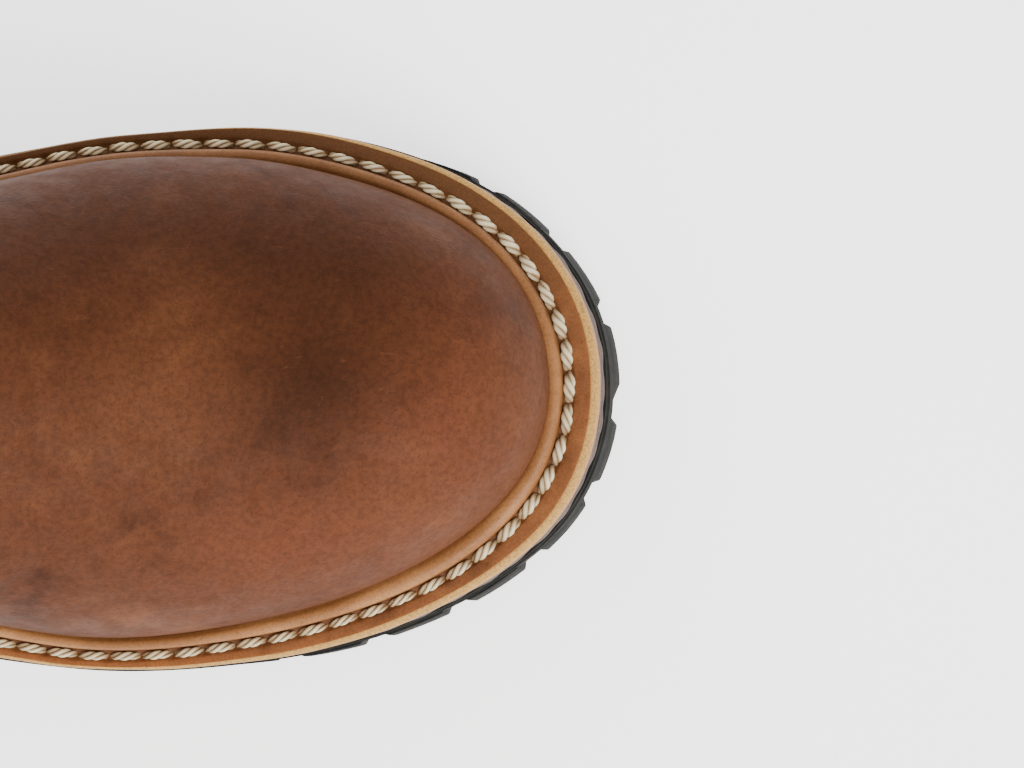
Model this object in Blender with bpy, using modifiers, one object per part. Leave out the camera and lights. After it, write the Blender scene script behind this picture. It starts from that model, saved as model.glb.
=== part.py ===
"""A lace-up logger boot for the right foot, in metres, with +X to the toe, +Y to the inner (medial) side and +Z up.

The origin is on the floor, under the middle of the heel. Every piece takes its shape from the last: boot_point()
gives a point of the upper's outer surface, and rim_point() a point of an outline round the sole.
"""

import functools
import math

import bmesh
import bpy
import numpy as np
from mathutils import Matrix

# The last
LAST_LENGTH = 0.288        # heel back to toe tip, along the edge where the upper meets the welt
HEEL_SETBACK = 0.0378      # from the origin back to that edge
BALL_WIDTH = 0.0965        # across the ball, at the same edge
INSTEP_HEIGHT = 0.078      # vamp ridge above the midsole, in front of the throat
SHAFT_HEIGHT = 0.208       # collar above the heel seat
COLLAR_WIDTH = 0.084
SIDE_BULGE = 0.055         # how far the side walls swell past the edge, as a share of the half width

# The upper
WALL = 0.003               # leather and lining together
QUARTER_STEP = 0.0013      # how far the quarters' cut edge stands over the vamp
SKIVED_STEP = 0.0004       # and where it is thinned to go under the welt
OVERLAY = 0.0018           # counter and backstay leather
THROAT_HALF_GAP = 0.0105   # half the lacing gap at its lower end
COLLAR_HALF_GAP = 0.0165   # and at the collar
TONGUE = 0.0028
TONGUE_CLEARANCE = 0.0045  # room for the lace between the tongue and the quarters
TONGUE_RISE = 0.016        # tongue above the collar
TONGUE_LAP = 0.012         # how far it reaches under each quarter

# The sole
FIT_GAP = 0.0003           # between faces that touch on the real boot
HEEL_HEIGHT = 0.050        # top of the midsole at the heel, above the floor
MIDSOLE = 0.004
OUTSOLE = 0.006
LUG_DEPTH = 0.0073
TOE_SPRING = 0.0095
INSOLE = 0.004
WELT = 0.004
WELT_TOE_WIDTH = 0.0108    # upper to the welt's outer edge, at the toe
WELT_HEEL_WIDTH = 0.0080
WELT_BEVEL = 0.0012
RIB_WIDTH = 0.0034         # the storm rib that stands against the upper
RIB_HEIGHT = 0.0038
LUG_PITCH = 0.0180
LUG_GAP = 0.0036
LUG_INWARD = 0.0150        # length of an edge lug, from the edge inward
LUG_FLARE = 0.0009         # how far the lugs stand out past the sole's edge
LUG_CHAMFER = 0.0016
LUG_CLIMB = 0.0030         # how far they run up the outsole's side
TOE_LUG_OFFSET = 0.0060    # the toe's middle lug sits this far to the inner side
EDGE_RIDGE = 0.0004        # ridge round the outsole's side
HEEL_BREAST = 0.0365       # front of the heel at its top
HEEL_SLOPE_BACK = 0.0095   # how far the heel's back runs in on its way down
HEEL_SLOPE_BREAST = 0.0045
HEEL_SLOPE_SIDE = 0.0018
HEEL_BREAST_CURVE = 0.0030 # how far the breast is hollowed at its middle
HEEL_LIFT = 0.014          # the rubber top piece, lugs included
HEEL_LUG_DEPTH = 0.007
HEEL_LAYERS = 4            # leather layers of the heel, with a groove between each two
HEEL_GROOVE = 0.0005

# Lacing
EYELET_PAIRS = 5
HOOK_PAIRS = 4
EYELET_INSET = 0.0105      # from the lacing edge to the eyelet's centre
FIRST_EYELET = 0.0100      # from the lower end of the lacing gap, up the front line
EYELET_PITCH = 0.0170
TOP_HOOK = 0.0170          # from the collar down
EYELET_RADIUS = 0.0024     # of its barrel
EYELET_BORE = 0.0017
EYELET_FLANGE = 0.0046
METAL = 0.0009             # thickness of eyelets and hooks
STUD_CLEARANCE = 0.00045   # eyelets and hooks above the leather
HOOK_PLATE = 0.0045
HOOK_HEIGHT = 0.0068
HOOK_WIDTH = 0.0052
LACE = 0.0018              # radius

# How finely the pieces are faceted
REAR_COLUMNS = 12
FRONT_COLUMNS = 10
COUNTER_COLUMNS = 9       # how many of the rear columns the counter covers on each side
TONGUE_COLUMNS = 4
EYELET_SIDES = 8
LACE_DETAIL = 1

LATERAL, MEDIAL = -1, 1

# Front line of the boot from the side, from the toe tip up the vamp. Columns: place along the last, height above the
# midsole as a share of INSTEP_HEIGHT.
VAMP_LINE = (
    (1.000, 0.000), (0.9993, 0.11), (0.989, 0.25), (0.968, 0.37), (0.937, 0.475), (0.895, 0.560),
    (0.843, 0.625), (0.784, 0.687), (0.7215, 0.757), (0.652, 0.858), (0.590, 0.970), (0.531, 1.095),
)
# It goes on up the shaft. Columns: place along the last, height above the heel seat as a share of SHAFT_HEIGHT.
SHAFT_FRONT_LINE = ((0.482, 0.358), (0.444, 0.447), (0.4177, 0.543), (0.402, 0.654), (0.3934, 0.779), (0.394, 1.0))
BACK_LINE = (
    (0.000, 0.000), (-0.011, 0.048), (-0.0198, 0.106), (-0.0205, 0.168), (-0.0128, 0.240), (-0.0007, 0.317),
    (0.008, 0.394), (0.0115, 0.481), (0.008, 0.587), (0.001, 0.712), (-0.0094, 0.865), (-0.018, 0.975),
)
# Half width at the edge. Columns: place along the last, inner half, outer half, as shares of BALL_WIDTH.
EDGE_WIDTHS = (
    (0.00, 0.326, 0.326), (0.13, 0.326, 0.328), (0.27, 0.306, 0.352), (0.39, 0.296, 0.389), (0.548, 0.389, 0.470),
    (0.687, 0.466, 0.519), (0.777, 0.4767, 0.5233), (1.00, 0.4767, 0.5233),
)
# Half width of the shaft. Columns: height above the heel seat by SHAFT_HEIGHT, share of half of COLLAR_WIDTH.
SHAFT_WIDTHS = ((0.0, 0.80), (0.25, 0.83), (0.45, 0.82), (0.60, 0.85), (0.75, 0.91), (0.90, 0.97), (1.0, 1.0), (1.1, 1.02))
# How square the foot's arch-shaped section is. Columns: place along the last, exponent.
SECTION_POWER = ((0.35, 1.7), (0.5, 1.8), (0.62, 2.05), (0.75, 2.35), (0.88, 2.55), (1.0, 2.6))
# Where each row of the upper starts at the back. Columns: share of the front line, share of SHAFT_HEIGHT.
BACK_OF_ROW = ((0.0, 0.0), (0.0267, 0.042), (0.10, 0.10), (0.25, 0.20), (0.45, 0.345), (0.64, 0.50), (0.80, 0.70), (1.0, 0.975))
TOE_CAP = {MEDIAL: 0.223, LATERAL: 0.2924}   # length of the rounded toe, by LAST_LENGTH
HEEL_CAP = 0.118
TOE_POWER = 2.08
HEEL_POWER = 2.15
SHAFT_POWER = 2.15

# Places along the front line, as shares of it
THROAT = 0.452             # lower end of the lacing gap
FOOT_ROWS_END = 0.40       # rows below are foot, rows above turn into shaft rings
SHAFT_ROWS_START = 0.70
COUNTER_TOP = 0.27         # the counter's upper edge at the back seam
SEAM_FOOT = 0.455          # the quarters' front edge at the welt, as a share of the row
LEVEL_ROWS = 0.05          # rows below stay level with the sole

# Places along the sole, by LAST_LENGTH
ARCH_START, ARCH_END = 0.245, 0.645
SPRING_START = 0.730
# Width of the welt. Columns: place along the last, share of the way from WELT_HEEL_WIDTH to WELT_TOE_WIDTH.
WELT_WIDTHS = ((0.0, 0.0), (0.35, 0.0), (0.60, 0.06), (0.78, 0.18), (0.90, 0.52), (1.0, 1.0))
# Lugs inside the edge lugs. Columns: place along the sole by LAST_LENGTH, lugs across.
MIDDLE_LUGS = ((0.505, 1), (0.565, 2), (0.625, 1), (0.685, 2), (0.745, 1), (0.805, 2), (0.865, 1))
MIDDLE_LUG_LENGTH = 0.0138


def smooth_curve(points):
    """A smooth function through (x, y) points, level with its own slope between them."""
    xs, ys = (np.array(column, float) for column in zip(*points))
    slopes = np.gradient(ys, xs)

    def value(x):
        i = int(np.clip(np.searchsorted(xs, x) - 1, 0, len(xs) - 2))
        step = xs[i + 1] - xs[i]
        u = min(max((x - xs[i]) / step, 0.0), 1.0)
        bend = slopes[i] * step * u * (1 - u) ** 2 - slopes[i + 1] * step * u * u * (1 - u)
        return float(ys[i] * (1 + 2 * u) * (1 - u) ** 2 + ys[i + 1] * u * u * (3 - 2 * u) + bend)

    return value


def ease(u):
    u = min(max(u, 0.0), 1.0)
    return u * u * (3 - 2 * u)


def mix(a, b, u):
    return a + (b - a) * u


def along_last(share):
    return LAST_LENGTH * share - HEEL_SETBACK


def share_of_last(x):
    return (x + HEEL_SETBACK) / LAST_LENGTH


FOREFOOT_HEIGHT = LUG_DEPTH + OUTSOLE + FIT_GAP + MIDSOLE
SOLE_TIP = along_last(1.0) + WELT_TOE_WIDTH


def midsole_top(x):
    """Height of the midsole's upper face: heel seat, arch, flat ball and toe spring."""
    arch = (x - along_last(ARCH_START)) / (LAST_LENGTH * (ARCH_END - ARCH_START))
    fall = (1 + math.cos(math.pi * min(max(arch, 0.0), 1.0))) / 2
    spring = max(x - along_last(SPRING_START), 0.0) / (SOLE_TIP - along_last(SPRING_START))
    return FOREFOOT_HEIGHT + (HEEL_HEIGHT - FOREFOOT_HEIGHT) * fall + TOE_SPRING * spring ** 2


def profile(points):
    """A smooth line through side-view points: its length, and a function from 0..1 along it to (x, z)."""
    steps = [math.dist(a, b) for a, b in zip(points, points[1:])]
    lengths = np.concatenate([[0.0], np.cumsum(steps)])
    x_of = smooth_curve(list(zip(lengths, [p[0] for p in points])))
    z_of = smooth_curve(list(zip(lengths, [p[1] for p in points])))
    total = float(lengths[-1])

    def place(share):
        inside = min(max(share, 0.0), 1.0)
        x, z = x_of(inside * total), z_of(inside * total)
        if share > 1:
            z += (share - 1) * total
        return x, z

    return total, place


def seat_height(share):
    return HEEL_HEIGHT + FIT_GAP + SHAFT_HEIGHT * share


FRONT_LENGTH, front_line = profile(
    [(along_last(a), midsole_top(along_last(a)) + FIT_GAP + INSTEP_HEIGHT * h) for a, h in VAMP_LINE]
    + [(along_last(a), seat_height(h)) for a, h in SHAFT_FRONT_LINE]
)
BACK_LENGTH, back_line = profile([(along_last(a), seat_height(h)) for a, h in BACK_LINE])

inner_width = smooth_curve([(a, inner) for a, inner, _ in EDGE_WIDTHS])
outer_width = smooth_curve([(a, outer) for a, _, outer in EDGE_WIDTHS])
shaft_width = smooth_curve(SHAFT_WIDTHS)
section_power = smooth_curve(SECTION_POWER)
back_of_row = smooth_curve(BACK_OF_ROW)

RIDGE_SAMPLES = 600
ridge = np.array([front_line(i / RIDGE_SAMPLES) for i in range(RIDGE_SAMPLES + 1)])
ridge = ridge[int(np.argmax(ridge[:, 0])): int(np.argmin(ridge[:, 0])) + 1][::-1]
TOE_TIP = float(ridge[-1, 0])


def ridge_height(x):
    """Height of the vamp's ridge, and inside the shaft the height of its front line."""
    return float(np.interp(x, ridge[:, 0], ridge[:, 1]))


def row_share(sigma):
    """Places along a row, bunched at its two ends, where the outline is round."""
    return (1 - math.cos(math.pi * sigma)) / 2


def rounded_end(distance, length, power):
    """1 past the rounded end, falling to 0 at its tip."""
    u = min(max(1 - distance / length, 0.0), 1.0)
    return (1 - u ** power) ** (1 / power)


def edge_half_width(x, side):
    share = share_of_last(x)
    return BALL_WIDTH * (inner_width if side == MEDIAL else outer_width)(share)


def foot_half_width(x, z, side, back_x):
    """Half width of the foot part at a point of its side view."""
    base = midsole_top(x) + FIT_GAP
    height = min(max((z - base) / max(ridge_height(x) - base, 1e-6), 0.0), 1.0)
    width = edge_half_width(x, side) * (1 + SIDE_BULGE * 4 * height * (1 - height))
    width *= rounded_end(TOE_TIP - x, LAST_LENGTH * TOE_CAP[side], TOE_POWER)
    width *= rounded_end(x - back_x, LAST_LENGTH * HEEL_CAP, HEEL_POWER)
    return width * math.sqrt(1 - height ** section_power(share_of_last(x)))


@functools.lru_cache(maxsize=None)
def row_at_back(share):
    """Share of the back line where the row that ends at this share of the front line starts."""
    rise = back_of_row(min(share, 1.0))
    places = [h for _, h in BACK_LINE]
    lengths = np.cumsum([0.0] + [
        math.dist((LAST_LENGTH * a, SHAFT_HEIGHT * h), (LAST_LENGTH * b, SHAFT_HEIGHT * g))
        for (a, h), (b, g) in zip(BACK_LINE, BACK_LINE[1:])
    ])
    found = float(np.interp(rise, places, lengths)) / BACK_LENGTH
    return found + max(share - 1, 0.0) * FRONT_LENGTH / BACK_LENGTH


@functools.lru_cache(maxsize=None)
def row_ends(row):
    return front_line(row), back_line(row_at_back(row))


def boot_point(sigma, row, side):
    """A point of the upper's outer surface. sigma runs from the back, 0, to the front, 1; row runs from the welt, 0,
    to the collar, 1, by length of the front line."""
    if sigma < 0:
        sigma, side = -sigma, -side
    if sigma > 1:
        sigma, side = 2 - sigma, -side
    front, back = row_ends(row)
    p = row_share(sigma)
    x = mix(back[0], front[0], p)
    rise = mix(back[1] - midsole_top(back[0]), front[1] - midsole_top(front[0]), p)
    straight = ease((row - 0.03) / 0.42)
    z = mix(midsole_top(x) + rise, mix(back[1], front[1], p), straight)
    turn = ease((row - FOOT_ROWS_END) / (SHAFT_ROWS_START - FOOT_ROWS_END))
    foot = foot_half_width(x, z, side, back[0]) if turn < 1 else 0.0
    ring = COLLAR_WIDTH / 2 * shaft_width((z - HEEL_HEIGHT) / SHAFT_HEIGHT)
    ring *= math.sqrt(max(1 - abs(2 * p - 1) ** SHAFT_POWER, 0.0))
    return np.array([x, side * mix(foot, ring, turn), z])


def boot_normal(sigma, row, side):
    step = 0.004
    low, high = max(row - step, 0.0), row + step
    across = boot_point(sigma + step, row, side) - boot_point(sigma - step, row, side)
    up = boot_point(sigma, high, side) - boot_point(sigma, low, side)
    normal = np.cross(across, up) * -side
    normal[2] *= ease(row / LEVEL_ROWS)
    return normal / np.linalg.norm(normal)


def on_boot(sigma, row, side, offset=0.0):
    """A point at this distance outside the upper's base surface, or inside it where the distance is negative. Near
    the sole it keeps its height above the midsole."""
    base = boot_point(sigma, row, side)
    moved = base + boot_normal(sigma, row, side) * offset
    moved[2] += (midsole_top(moved[0]) - midsole_top(base[0])) * (1 - ease(row / LEVEL_ROWS))
    return moved


@functools.lru_cache(maxsize=None)
def sigma_at_half_width(row, half_width, side):
    """Where a row, followed from the front, first lies this far from the middle plane."""
    low, high = 0.5, 1.0
    for _ in range(22):
        middle = (low + high) / 2
        if abs(boot_point(middle, row, side)[1]) > half_width:
            low = middle
        else:
            high = middle
    return (low + high) / 2


def throat_sigma(row, side):
    up = (row - THROAT) / (1 - THROAT)
    return sigma_at_half_width(row, mix(THROAT_HALF_GAP, COLLAR_HALF_GAP, up), side)


def seam_sigma(row, side):
    """The quarters' front edge: from the welt up and forward to the lower corner of the lacing gap."""
    if row >= THROAT:
        return throat_sigma(row, side)
    u = row / THROAT
    return mix(SEAM_FOOT, throat_sigma(THROAT, side), 0.35 * u + 0.65 * u ** 2.4)


def quarter_step(row):
    """How far the quarters stand over the base surface: thinned up to the rib's top, full from the ledge up."""
    return mix(SKIVED_STEP, QUARTER_STEP, min(max((row - RIB_ROW) / (LEDGE_ROW - RIB_ROW), 0.0), 1.0))


def rear_columns(row, side):
    edge = seam_sigma(row, side)
    return [edge * i / REAR_COLUMNS for i in range(REAR_COLUMNS + 1)]


def front_columns(row, side):
    edge = seam_sigma(row, side)
    return [mix(edge, 1.0, i / FRONT_COLUMNS) for i in range(FRONT_COLUMNS + 1)]


def clear_scene():
    for obj in list(bpy.data.objects):
        bpy.data.objects.remove(obj)


def material(name, colour, roughness, metallic=0.0):
    made = bpy.data.materials.new(name)
    made.use_nodes = True
    shader = made.node_tree.nodes["Principled BSDF"]
    shader.inputs["Base Color"].default_value = (*colour, 1.0)
    shader.inputs["Roughness"].default_value = roughness
    shader.inputs["Metallic"].default_value = metallic
    return made


def mesh_object(name, points, faces, look, collection):
    mesh = bpy.data.meshes.new(name)
    mesh.from_pydata([tuple(float(c) for c in p) for p in points], [], faces)
    work = bmesh.new()
    work.from_mesh(mesh)
    bmesh.ops.remove_doubles(work, verts=work.verts, dist=1e-6)
    bmesh.ops.triangulate(work, faces=[f for f in work.faces if len(f.verts) > 3])
    bmesh.ops.recalc_face_normals(work, faces=work.faces)
    work.to_mesh(mesh)
    work.free()
    mesh.materials.append(look)
    obj = bpy.data.objects.new(name, mesh)
    collection.objects.link(obj)
    return obj


def grid_faces(grid, closed=False):
    """Quads between the rows of a grid of point numbers."""
    faces = []
    for low, high in zip(grid, grid[1:]):
        last = len(low) if closed else len(low) - 1
        for i in range(last):
            j = (i + 1) % len(low)
            if low[i] != high[i] or low[j] != high[j]:
                faces.append([low[i], low[j], high[j], high[i]])
    return faces


class Points:
    """A growing list of points that hands out their numbers."""

    def __init__(self):
        self.all = []

    def add(self, point):
        self.all.append(point)
        return len(self.all) - 1

    def row(self, points):
        return [self.add(p) for p in points]


def shell(name, outer, inner, look, collection):
    """A closed sheet between two grids of points of the same size."""
    points = Points()
    outside = [points.row(r) for r in outer]
    inside = [points.row(r) for r in inner]
    faces = grid_faces(outside) + grid_faces(inside)
    faces += grid_faces([outside[0], inside[0]]) + grid_faces([outside[-1], inside[-1]])
    for end in (0, -1):
        faces += grid_faces([[r[end] for r in outside], [r[end] for r in inside]])
    return mesh_object(name, points.all, faces, look, collection)


WELT_ROW = WELT / FRONT_LENGTH
RIB_ROW = (WELT + RIB_HEIGHT) / FRONT_LENGTH
LEDGE_ROW = RIB_ROW + 0.003
FOOT_ROWS = [0.0, WELT_ROW, RIB_ROW, LEDGE_ROW, 0.045, 0.075, 0.11, 0.15, 0.20, 0.26, 0.33, 0.39, THROAT]
SHAFT_ROWS = [THROAT, 0.50, 0.55, 0.60, 0.65, 0.70, 0.76, 0.83, 0.91, 1.0]


def make_upper(look, collection):
    """Vamp and quarters as one hollow wall, with the quarters' cut edge as a step over the vamp."""
    points = Points()
    faces = []

    def layer(rows, columns, offset_at):
        grid = []
        for row in rows:
            offset = offset_at(row)
            outer_half = [on_boot(s, row, LATERAL, offset) for s in columns(row, LATERAL)]
            inner_half = [on_boot(s, row, MEDIAL, offset) for s in columns(row, MEDIAL)]
            grid.append((outer_half, inner_half))
        return grid

    rows = FOOT_ROWS + SHAFT_ROWS[1:]
    rear_outside = layer(rows, rear_columns, quarter_step)
    rear_inside = layer(rows, rear_columns, lambda row: -WALL)
    front_outside = layer(FOOT_ROWS, front_columns, lambda row: 0.0)
    front_inside = layer(FOOT_ROWS, front_columns, lambda row: -WALL)

    def around(halves, from_back):
        """One row from the outer side's seam to the inner side's, past the back or past the front."""
        outer_half, inner_half = halves
        if from_back:
            return outer_half[::-1] + inner_half[1:]
        return outer_half + inner_half[::-1][1:]

    rear_out = [points.row(around(r, True)) for r in rear_outside]
    rear_in = [points.row(around(r, True)) for r in rear_inside]
    front_out = [points.row(around(r, False)) for r in front_outside]
    front_in = [points.row(around(r, False)) for r in front_inside]
    for grid in (rear_out, rear_in, front_out, front_in):
        faces += grid_faces(grid)
    faces += grid_faces([rear_out[0], rear_in[0]]) + grid_faces([front_out[0], front_in[0]])
    faces += grid_faces([rear_out[-1], rear_in[-1]]) + grid_faces([front_out[-1], front_in[-1]])
    foot = len(FOOT_ROWS)
    for end in (0, -1):
        step_high = [r[end] for r in rear_out[:foot]]
        step_low = [r[end] for r in front_out]
        faces += grid_faces([step_high, step_low])
        faces += grid_faces([[r[end] for r in rear_out[foot - 1:]], [r[end] for r in rear_in[foot - 1:]]])
        faces.append([rear_out[foot - 1][end], front_out[-1][end], rear_in[foot - 1][end]])
        faces.append([rear_out[0][end], front_out[0][end], rear_in[0][end]])
    return mesh_object("upper", points.all, faces, look, collection)


def base_stations():
    """The places round the last where the upper's columns stand: outer side from back to toe, inner side back."""
    outer = rear_columns(0.0, LATERAL) + front_columns(0.0, LATERAL)[1:]
    inner = rear_columns(0.0, MEDIAL) + front_columns(0.0, MEDIAL)[1:]
    return [(s, LATERAL) for s in outer] + [(s, MEDIAL) for s in inner[-2:0:-1]]


def cap(loop):
    """Faces across a loop that runs up one side and back down the other."""
    half = len(loop) // 2
    faces = []
    for i in range(half):
        left, right = loop[i], loop[-i % len(loop)]
        next_left, next_right = loop[i + 1], loop[-i - 1]
        corners = [left, next_left, next_right, right]
        faces.append([c for k, c in enumerate(corners) if c not in corners[:k]])
    return faces


def slab(name, loops, look, collection):
    """A closed body between a stack of loops round the sole."""
    points = Points()
    grid = [points.row(loop) for loop in loops]
    faces = grid_faces(grid, closed=True) + cap(grid[0]) + cap(grid[-1])
    return mesh_object(name, points.all, faces, look, collection)


welt_share = smooth_curve(WELT_WIDTHS)


def welt_width(x):
    return mix(WELT_HEEL_WIDTH, WELT_TOE_WIDTH, welt_share(min(max(share_of_last(x), 0.0), 1.0)))


def square_to_sole(x, y, depth):
    """The point this far below the midsole's top, measured square to it."""
    reach = 0.0005
    slope = math.atan((midsole_top(x + reach) - midsole_top(x - reach)) / (2 * reach))
    return np.array([x + depth * math.sin(slope), y, midsole_top(x) - depth * math.cos(slope)])


def rim_point(sigma, side, beyond, depth):
    """A point of the sole's edge, this far outside the welt's edge line and this far below the midsole's top."""
    foot = boot_point(sigma, 0.0, side)
    out = boot_normal(sigma, 0.0, side) * (welt_width(foot[0]) + beyond)
    return square_to_sole(foot[0] + out[0], foot[1] + out[1], depth)


def rim_loop(beyond, depth):
    return [rim_point(sigma, side, beyond, depth) for sigma, side in base_stations()]


def foot_loop(row, offset):
    """The upper's own outline at a row, moved out or in. The rear part carries the quarters' step."""
    loop = []
    for sigma, side in base_stations():
        share = sigma / SEAM_FOOT if sigma <= SEAM_FOOT else 1 + (sigma - SEAM_FOOT) / (1 - SEAM_FOOT)
        edge = seam_sigma(row, side)
        place = share * edge if share <= 1 else mix(edge, 1.0, share - 1)
        loop.append((place, side, share))
    return [on_boot(place, row, side, offset(share) if callable(offset) else offset) for place, side, share in loop]


def outside_upper(clear):
    """Distance from the base surface that stays outside the quarters' step and follows it down to the vamp."""
    def offset(share):
        return clear + SKIVED_STEP * min(max(1 - (share - 1) * FRONT_COLUMNS, 0.0), 1.0)
    return offset


def make_welt(look, collection):
    """The welt that the outsole is stitched to, with the storm rib standing against the upper."""
    inner_low = foot_loop(0.0, outside_upper(FIT_GAP))
    inner_middle = foot_loop(WELT_ROW, outside_upper(FIT_GAP))
    inner_top = foot_loop(RIB_ROW, outside_upper(FIT_GAP))
    rib_crown = foot_loop(RIB_ROW, outside_upper(FIT_GAP + RIB_WIDTH * 0.55))
    rib_side = foot_loop((WELT_ROW + 2 * RIB_ROW) / 3, outside_upper(FIT_GAP + RIB_WIDTH))
    rib_foot = foot_loop(WELT_ROW, outside_upper(FIT_GAP + RIB_WIDTH))
    shoulder = rim_loop(-WELT_BEVEL, -FIT_GAP - WELT)
    edge = rim_loop(0.0, -FIT_GAP - WELT + WELT_BEVEL)
    outer_low = rim_loop(0.0, -FIT_GAP)
    points = Points()
    loops = [inner_low, inner_middle, inner_top, rib_crown, rib_side, rib_foot, shoulder, edge, outer_low]
    grid = [points.row(loop) for loop in loops]
    faces = grid_faces(grid + [grid[0]], closed=True)
    return mesh_object("storm_welt", points.all, faces, look, collection)


def make_midsole(look, collection):
    loops = [rim_loop(-0.0003, 0.0), rim_loop(-0.0003, MIDSOLE)]
    return slab("midsole", loops, look, collection)


def make_insole(look, collection):
    inside = -WALL - FIT_GAP
    loops = [foot_loop(0.0, inside), foot_loop(INSOLE / FRONT_LENGTH, inside)]
    return slab("insole", loops, look, collection)


class EdgeLine:
    """The sole's edge in plan, by distance from the toe tip: positive on the inner side, negative on the outer."""

    def __init__(self):
        self.sides = {}
        for side in (LATERAL, MEDIAL):
            foot = [(boot_point(i / 150, 0.0, side), boot_normal(i / 150, 0.0, side)) for i in range(150, -1, -1)]
            edge = np.array([p[:2] + n[:2] * welt_width(p[0]) for p, n in foot])
            out = np.array([n[:2] for _, n in foot])
            steps = np.linalg.norm(np.diff(edge, axis=0), axis=1)
            self.sides[side] = (np.concatenate([[0.0], np.cumsum(steps)]), edge, out)

    def length(self, side):
        return float(self.sides[side][0][-1])

    def at(self, distance):
        """Plan point and outward direction."""
        lengths, edge, out = self.sides[MEDIAL if distance >= 0 else LATERAL]
        far = abs(distance)
        point = np.array([np.interp(far, lengths, edge[:, k]) for k in (0, 1)])
        outward = np.array([np.interp(far, lengths, out[:, k]) for k in (0, 1)])
        return point, outward / np.linalg.norm(outward)

    def from_back(self, distance):
        side = MEDIAL if distance >= 0 else LATERAL
        return self.at(side * max(self.length(side) - abs(distance), 0.0))


def prism(points, faces, low, high):
    """Adds a closed body between two rings of points to a growing mesh."""
    bottom, top = points.row(low), points.row(high)
    faces += grid_faces([bottom, top], closed=True)
    faces += [bottom[::-1], top]


def lug_plan(place, centre, length, pitch_gap):
    """Corners of an edge lug in plan: (point, outward direction, distance outside the edge line)."""
    low, high = centre - pitch_gap[0] / 2 + pitch_gap[1] / 2, centre + pitch_gap[0] / 2 - pitch_gap[1] / 2
    corners = [(low, -LUG_CHAMFER), (low + LUG_CHAMFER, 0.0), (centre, 0.0), (high - LUG_CHAMFER, 0.0),
               (high, -LUG_CHAMFER), (high, -length), (low, -length)]
    return [(*place(distance), beyond) for distance, beyond in corners]


def edge_lugs(points, faces, line):
    depth_top = MIDSOLE + FIT_GAP + OUTSOLE - LUG_CLIMB
    depth_low = FOREFOOT_HEIGHT
    rearmost = along_last(ARCH_START) + 0.47 * LAST_LENGTH * (ARCH_END - ARCH_START)
    for side in (LATERAL, MEDIAL):
        count = int(line.length(side) / LUG_PITCH)
        for k in range(0 if side == MEDIAL else 1, count):
            centre = TOE_LUG_OFFSET + side * k * LUG_PITCH
            if line.at(centre)[0][0] < rearmost:
                break
            plan = lug_plan(line.at, centre, LUG_INWARD, (LUG_PITCH, LUG_GAP))
            rings = []
            for depth, flare in ((depth_low, LUG_FLARE), (depth_top, 0.6 * LUG_FLARE + 0.0002)):
                ring = []
                for point, out, beyond in plan:
                    spot = point + out * (beyond + (flare if beyond > -LUG_INWARD else 0.0))
                    ring.append(square_to_sole(spot[0], spot[1], depth))
                rings.append(ring)
            prism(points, faces, *rings)


def middle_lugs(points, faces, line):
    depth_top = MIDSOLE + FIT_GAP + OUTSOLE - LUG_CLIMB / 2
    half = MIDDLE_LUG_LENGTH / 2
    for share, across in MIDDLE_LUGS:
        x = along_last(share)
        limits = []
        for side in (LATERAL, MEDIAL):
            lengths, edge, _ = line.sides[side]
            limits.append(float(np.interp(x, edge[::-1, 0], edge[::-1, 1])))
        low, high = limits[0] + LUG_INWARD + LUG_GAP, limits[1] - LUG_INWARD - LUG_GAP
        if high - low < MIDDLE_LUG_LENGTH:
            continue
        width = (high - low - LUG_GAP * (across - 1)) / across
        for i in range(across):
            y0 = low + i * (width + LUG_GAP)
            inset = 0.05 * width if across == 1 else 0.0
            plan = [(x - half, y0 + inset), (x + half, y0 + inset), (x + half, y0 + width - inset), (x - half, y0 + width - inset)]
            rings = [[square_to_sole(px, py, depth) for px, py in plan] for depth in (FOREFOOT_HEIGHT, depth_top)]
            prism(points, faces, *rings)


def boolean(target, cutter, operation):
    step = target.modifiers.new(operation.lower(), "BOOLEAN")
    step.object = cutter
    step.operation = operation
    step.solver = "EXACT"


def make_outsole(look, collection, helpers):
    """Rubber outsole from heel to toe: a slab with a ridge round its side, and the forefoot's lugs under it."""
    top = MIDSOLE + FIT_GAP
    loops = [
        rim_loop(0.0, top), rim_loop(0.0, top + OUTSOLE * 0.25), rim_loop(EDGE_RIDGE, top + OUTSOLE * 0.33),
        rim_loop(EDGE_RIDGE, top + OUTSOLE),
    ]
    sole = slab("outsole", loops, look, collection)
    points, faces = Points(), []
    line = EdgeLine()
    edge_lugs(points, faces, line)
    middle_lugs(points, faces, line)
    lugs = mesh_object("forefoot_lugs", points.all, faces, look, helpers)
    boolean(sole, lugs, "UNION")
    return sole


HEEL_TOP = HEEL_HEIGHT - MIDSOLE - OUTSOLE - 2 * FIT_GAP


def heel_point(plan, z):
    """A point of the heel's side under a point of the sole's edge: the heel tapers on its way down."""
    down = 1 - z / HEEL_TOP
    back = EDGE_BACK
    u = (HEEL_BREAST - plan[0]) / (HEEL_BREAST - back)
    x = plan[0] + down * (HEEL_SLOPE_BACK * u - HEEL_SLOPE_BREAST * (1 - u))
    y = plan[1] - math.copysign(min(HEEL_SLOPE_SIDE * down, abs(plan[1])), plan[1])
    return np.array([x, y, z])


EDGE_BACK = float(rim_point(0.0, MEDIAL, 0.0, 0.0)[0])


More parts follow.
